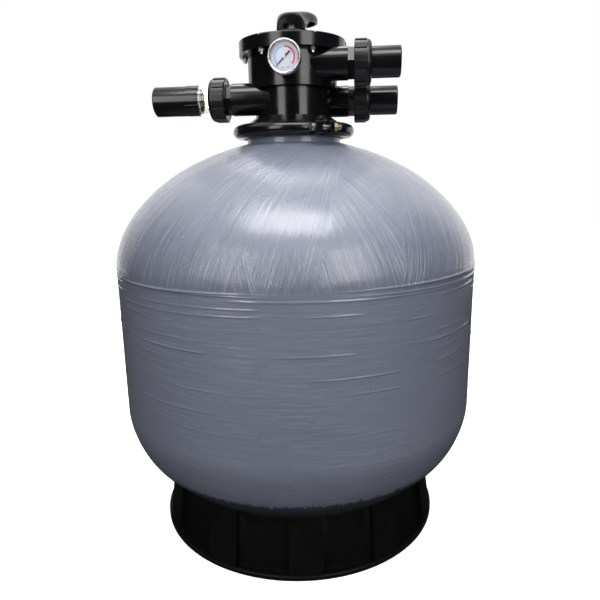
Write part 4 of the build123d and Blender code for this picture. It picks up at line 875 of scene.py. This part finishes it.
def dress_nodes():
    """Gives each of the frame's nodes its material, and returns the ones that other pieces share."""
    black = moulding("black_gloss_moulding", (0.0045, 0.0045, 0.005), 0.16)
    satin = moulding("black_satin_moulding", (0.007, 0.007, 0.0075), 0.30, 0.00004)
    base = moulding("base_moulding", (0.0036, 0.0036, 0.0038), 0.50, 0.00006, 0.0015, Specular_IOR_Level=0.14)
    lever_black = moulding("lever_moulding", (0.0040, 0.0040, 0.0043), 0.20, Specular_IOR_Level=0.12)
    steel = metal("stainless_steel", (0.62, 0.61, 0.60), 0.25)
    yellow = metal("machined_brass", (0.72, 0.52, 0.22), 0.28)
    soft = rubber()
    white = plain_plastic("white_pipe_plastic", (0.75, 0.75, 0.72), 0.4)
    chrome = metal("polished_chrome", (0.95, 0.95, 0.95), 0.30, 0.0006, 300)
    enamel = moulding("black_enamel", (0.012, 0.012, 0.012), 0.25, 0.00001, 0.0003)
    slate = smooth_paint()
    looks = {
        base: ["base_ring"],
        black: ["valve_body", "valve_lid", "diffuser", "lateral_hub", "drain_fitting", "drain_nut",
                "clamp_half_front", "clamp_half_rear", "tail_pump", "tail_return", "tail_waste"],
        satin: ["union_nut_pump", "union_nut_return", "union_nut_waste", "drain_cap"],
        lever_black: ["handle"],
        slate: ["tank_neck"],
        steel: ["clamp_bolts", "lid_bolts", "lid_nuts", "spring_washer", "rotor_spring", "handle_pin"],
        yellow: ["clamp_nuts", "gauge_stem", "gauge_tube", "gauge_movement"],
        soft: ["neck_o_ring", "drain_gasket", "spider_gasket", "union_o_rings", "lid_o_ring", "stem_rings"],
        white: ["standpipe", "laterals"],
        chrome: ["gauge_bezel"],
        enamel: ["gauge_case", "gauge_needle"],
        sand_grains(): ["sand_bed"],
        clear("clear_sight_plastic", (0.97, 0.955, 0.88)): ["sight_glass"],
        clear("clear_lens_plastic", (0.98, 0.985, 0.99)): ["gauge_lens"],
        plain_plastic("dial_plate", (0.66, 0.66, 0.76), 0.5, 1500): ["gauge_dial"],
        plain_plastic("grey_rotor_plastic", (0.40, 0.40, 0.40), 0.35): ["rotor"],
        moulding("black_washer", (0.012, 0.012, 0.012), 0.45): ["thrust_washer"],
    }
    for material, names in looks.items():
        for name in names:
            for slot in nodes[name].material_slots:
                slot.material = material
    return slate, lever_black, chrome, steel


def drain_pad(material):
    """Painted pad round the drain, low on the back of the tank."""
    share = (bottom_start - drain_height) / bottom_rise
    out = tank_radius * math.sqrt(1 - share**2)
    # Slope of the lower dome's ellipse at the drain
    normal = Vector((0, out / tank_radius**2, (drain_height - bottom_start) / bottom_rise**2)).normalized()
    axis = Matrix.Translation((0, out, drain_height)) @ normal.to_track_quat("Z", "Y").to_matrix().to_4x4()
    edge = 0.0008
    outline = [
        (drain_pad_bore, -drain_pad_proud),
        (drain_pad_bore, drain_pad_proud),
        (drain_pad_radius - edge, drain_pad_proud),
        (drain_pad_radius, drain_pad_proud - edge),
        (drain_pad_radius, -drain_pad_proud),
    ]
    pad = lathe("drain_pad", outline[::-1], material, axis, 64)
    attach(pad, "tank")


# Studio

light_centre = Vector((0, 0, 0.55))


def look_at(place, target):
    """Matrix of a lamp at a place whose light falls towards a target."""
    away = (Vector(place) - Vector(target)).normalized()
    return Matrix.Translation(place) @ away.to_track_quat("Z", "Y").to_matrix().to_4x4()


def softbox(name, place, target, width, height, radiance):
    """Rectangular lamp of an even brightness, where 1 is as bright as white paper."""
    light = bpy.data.lights.new(name, "AREA")
    light.shape = "RECTANGLE"
    light.size = width
    light.size_y = height
    light.energy = radiance * math.pi * width * height
    lamp = bpy.data.objects.new(name, light)
    scene.collection.objects.link(lamp)
    lamp.matrix_world = look_at(place, target)
    return lamp


def toward(azimuth, elevation, distance):
    """Place at a distance from the object's middle; azimuth 0 is in front, and +90 is on the +X side."""
    turn, rise = math.radians(azimuth), math.radians(elevation)
    flat = distance * math.cos(rise)
    return light_centre + Vector((flat * math.sin(turn), -flat * math.cos(turn), distance * math.sin(rise)))


def white_world():
    """World that is white to the camera and in reflections, and a dim fill light on the object."""
    fill_light = 0.13
    world = bpy.data.worlds.new("white_studio")
    scene.world = world
    world.use_nodes = True
    tree = world.node_tree
    path = tree.nodes.new("ShaderNodeLightPath")
    seen = path.outputs["Is Camera Ray"]
    for ray in ("Is Glossy Ray", "Is Transmission Ray"):
        either = tree.nodes.new("ShaderNodeMath")
        either.operation = "MAXIMUM"
        tree.links.new(seen, either.inputs[0])
        tree.links.new(path.outputs[ray], either.inputs[1])
        seen = either.outputs[0]
    level = tree.nodes.new("ShaderNodeMapRange")
    level.inputs["To Min"].default_value = fill_light
    level.inputs["To Max"].default_value = 1.0
    tree.links.new(seen, level.inputs["Value"])
    back = tree.nodes["Background"]
    back.inputs["Color"].default_value = (1, 1, 1, 1)
    tree.links.new(level.outputs["Result"], back.inputs["Strength"])


def lamps():
    """Softboxes in front, over and behind the object, and two that reflections don't see."""
    middle = (0, 0, 0.6)
    softbox("top_box", toward(0, 66, 2.0), light_centre, 1.5, 0.7, 7.8)
    softbox("left_box", toward(-28, 20, 2.2), middle, 0.80, 1.5, 4.8)
    softbox("right_box", toward(36, 20, 2.2), middle, 0.85, 1.5, 4.8)
    softbox("back_box", toward(-163, 66, 2.2), middle, 0.9, 0.6, 6.0)
    sky = softbox("sky_box", (0.3, 0, 2.9), middle, 2.0, 2.0, 3.0)
    sky.visible_glossy = False
    fill = softbox("back_fill", toward(180, 24, 2.4), middle, 1.6, 1.4, 3.0)
    fill.visible_glossy = False


def pale_floor():
    """Floor that is near white to the camera and in reflections, and still takes the object's shadow."""
    reach = 6.0
    glow = 0.88
    mesh = bpy.data.meshes.new("floor")
    corners = [(-reach, -reach, 0), (reach, -reach, 0), (reach, reach, 0), (-reach, reach, 0)]
    mesh.from_pydata(corners, [], [(0, 1, 2, 3)])
    paint = Paint("pale_floor", (0.8, 0.8, 0.8), 0.9)
    rays = paint.node("LightPath").outputs
    seen = paint.math("MAXIMUM", rays["Is Camera Ray"], rays["Is Glossy Ray"])
    seen = paint.math("MAXIMUM", seen, rays["Is Transmission Ray"])
    paint.shader.inputs["Emission Color"].default_value = (1, 1, 1, 1)
    paint.use("Emission Strength", paint.math("MULTIPLY", seen, glow))
    floor = add_object("floor", mesh, paint.material)
    floor.visible_diffuse = False


def round_points(out, level, turns):
    """Points at a distance from the axis and a level; turns are in degrees, and 0 is in front."""
    turns = [math.radians(turn) for turn in turns]
    return [(out * math.sin(turn), -out * math.cos(turn), level) for turn in turns]


def dark_cloth():
    """Cloth on the floor and on the wall in front that only reflections see, as in a dark room with boxes."""
    hole, reach, level, top = 0.001, 3.2, 0.002, 3.0
    turn_step, wall_end = 5, 125
    round_turns = range(0, 360, turn_step)
    wall_turns = range(-wall_end, wall_end + turn_step, turn_step)
    count, width = len(round_turns), len(wall_turns)
    verts = round_points(hole, level, round_turns) + round_points(reach, level, round_turns)
    faces = [(step, (step + 1) % count, count + (step + 1) % count, count + step) for step in range(count)]
    start = len(verts)
    verts += round_points(reach, level, wall_turns) + round_points(reach, top, wall_turns)
    for first in range(start, start + width - 1):
        faces.append((first, first + 1, first + width + 1, first + width))
    mesh = bpy.data.meshes.new("dark_screen")
    mesh.from_pydata(verts, [], faces)
    dark = Paint("dark_cloth", (0.02, 0.02, 0.02), 1.0)
    screen = add_object("dark_screen", mesh, dark.material)
    for ray in ("camera", "diffuse", "transmission", "volume_scatter", "shadow"):
        setattr(screen, f"visible_{ray}", False)


def add_camera():
    """Camera of the photograph."""
    camera = bpy.data.objects.new("camera", bpy.data.cameras.new("camera"))
    scene.collection.objects.link(camera)
    camera.data.lens = camera_lens
    camera.data.sensor_width = camera_sensor
    forward = camera_forward.normalized()
    right = forward.cross(Vector((0, 0, 1))).normalized()
    up = right.cross(forward)
    tilted_right = math.cos(camera_roll) * right + math.sin(camera_roll) * up
    tilted_up = math.cos(camera_roll) * up - math.sin(camera_roll) * right
    turn = Matrix((tilted_right, tilted_up, -forward)).transposed()
    camera.matrix_world = Matrix.Translation(camera_place) @ turn.to_4x4()
    scene.camera = camera


add_camera()
white_world()
lamps()
pale_floor()
dark_cloth()
slate_smooth, lever_black, polished, steel = dress_nodes()
wound_tank()
drain_pad(slate_smooth)
lever(lever_black)
rotor_coil(steel)
gauge_print(polished)
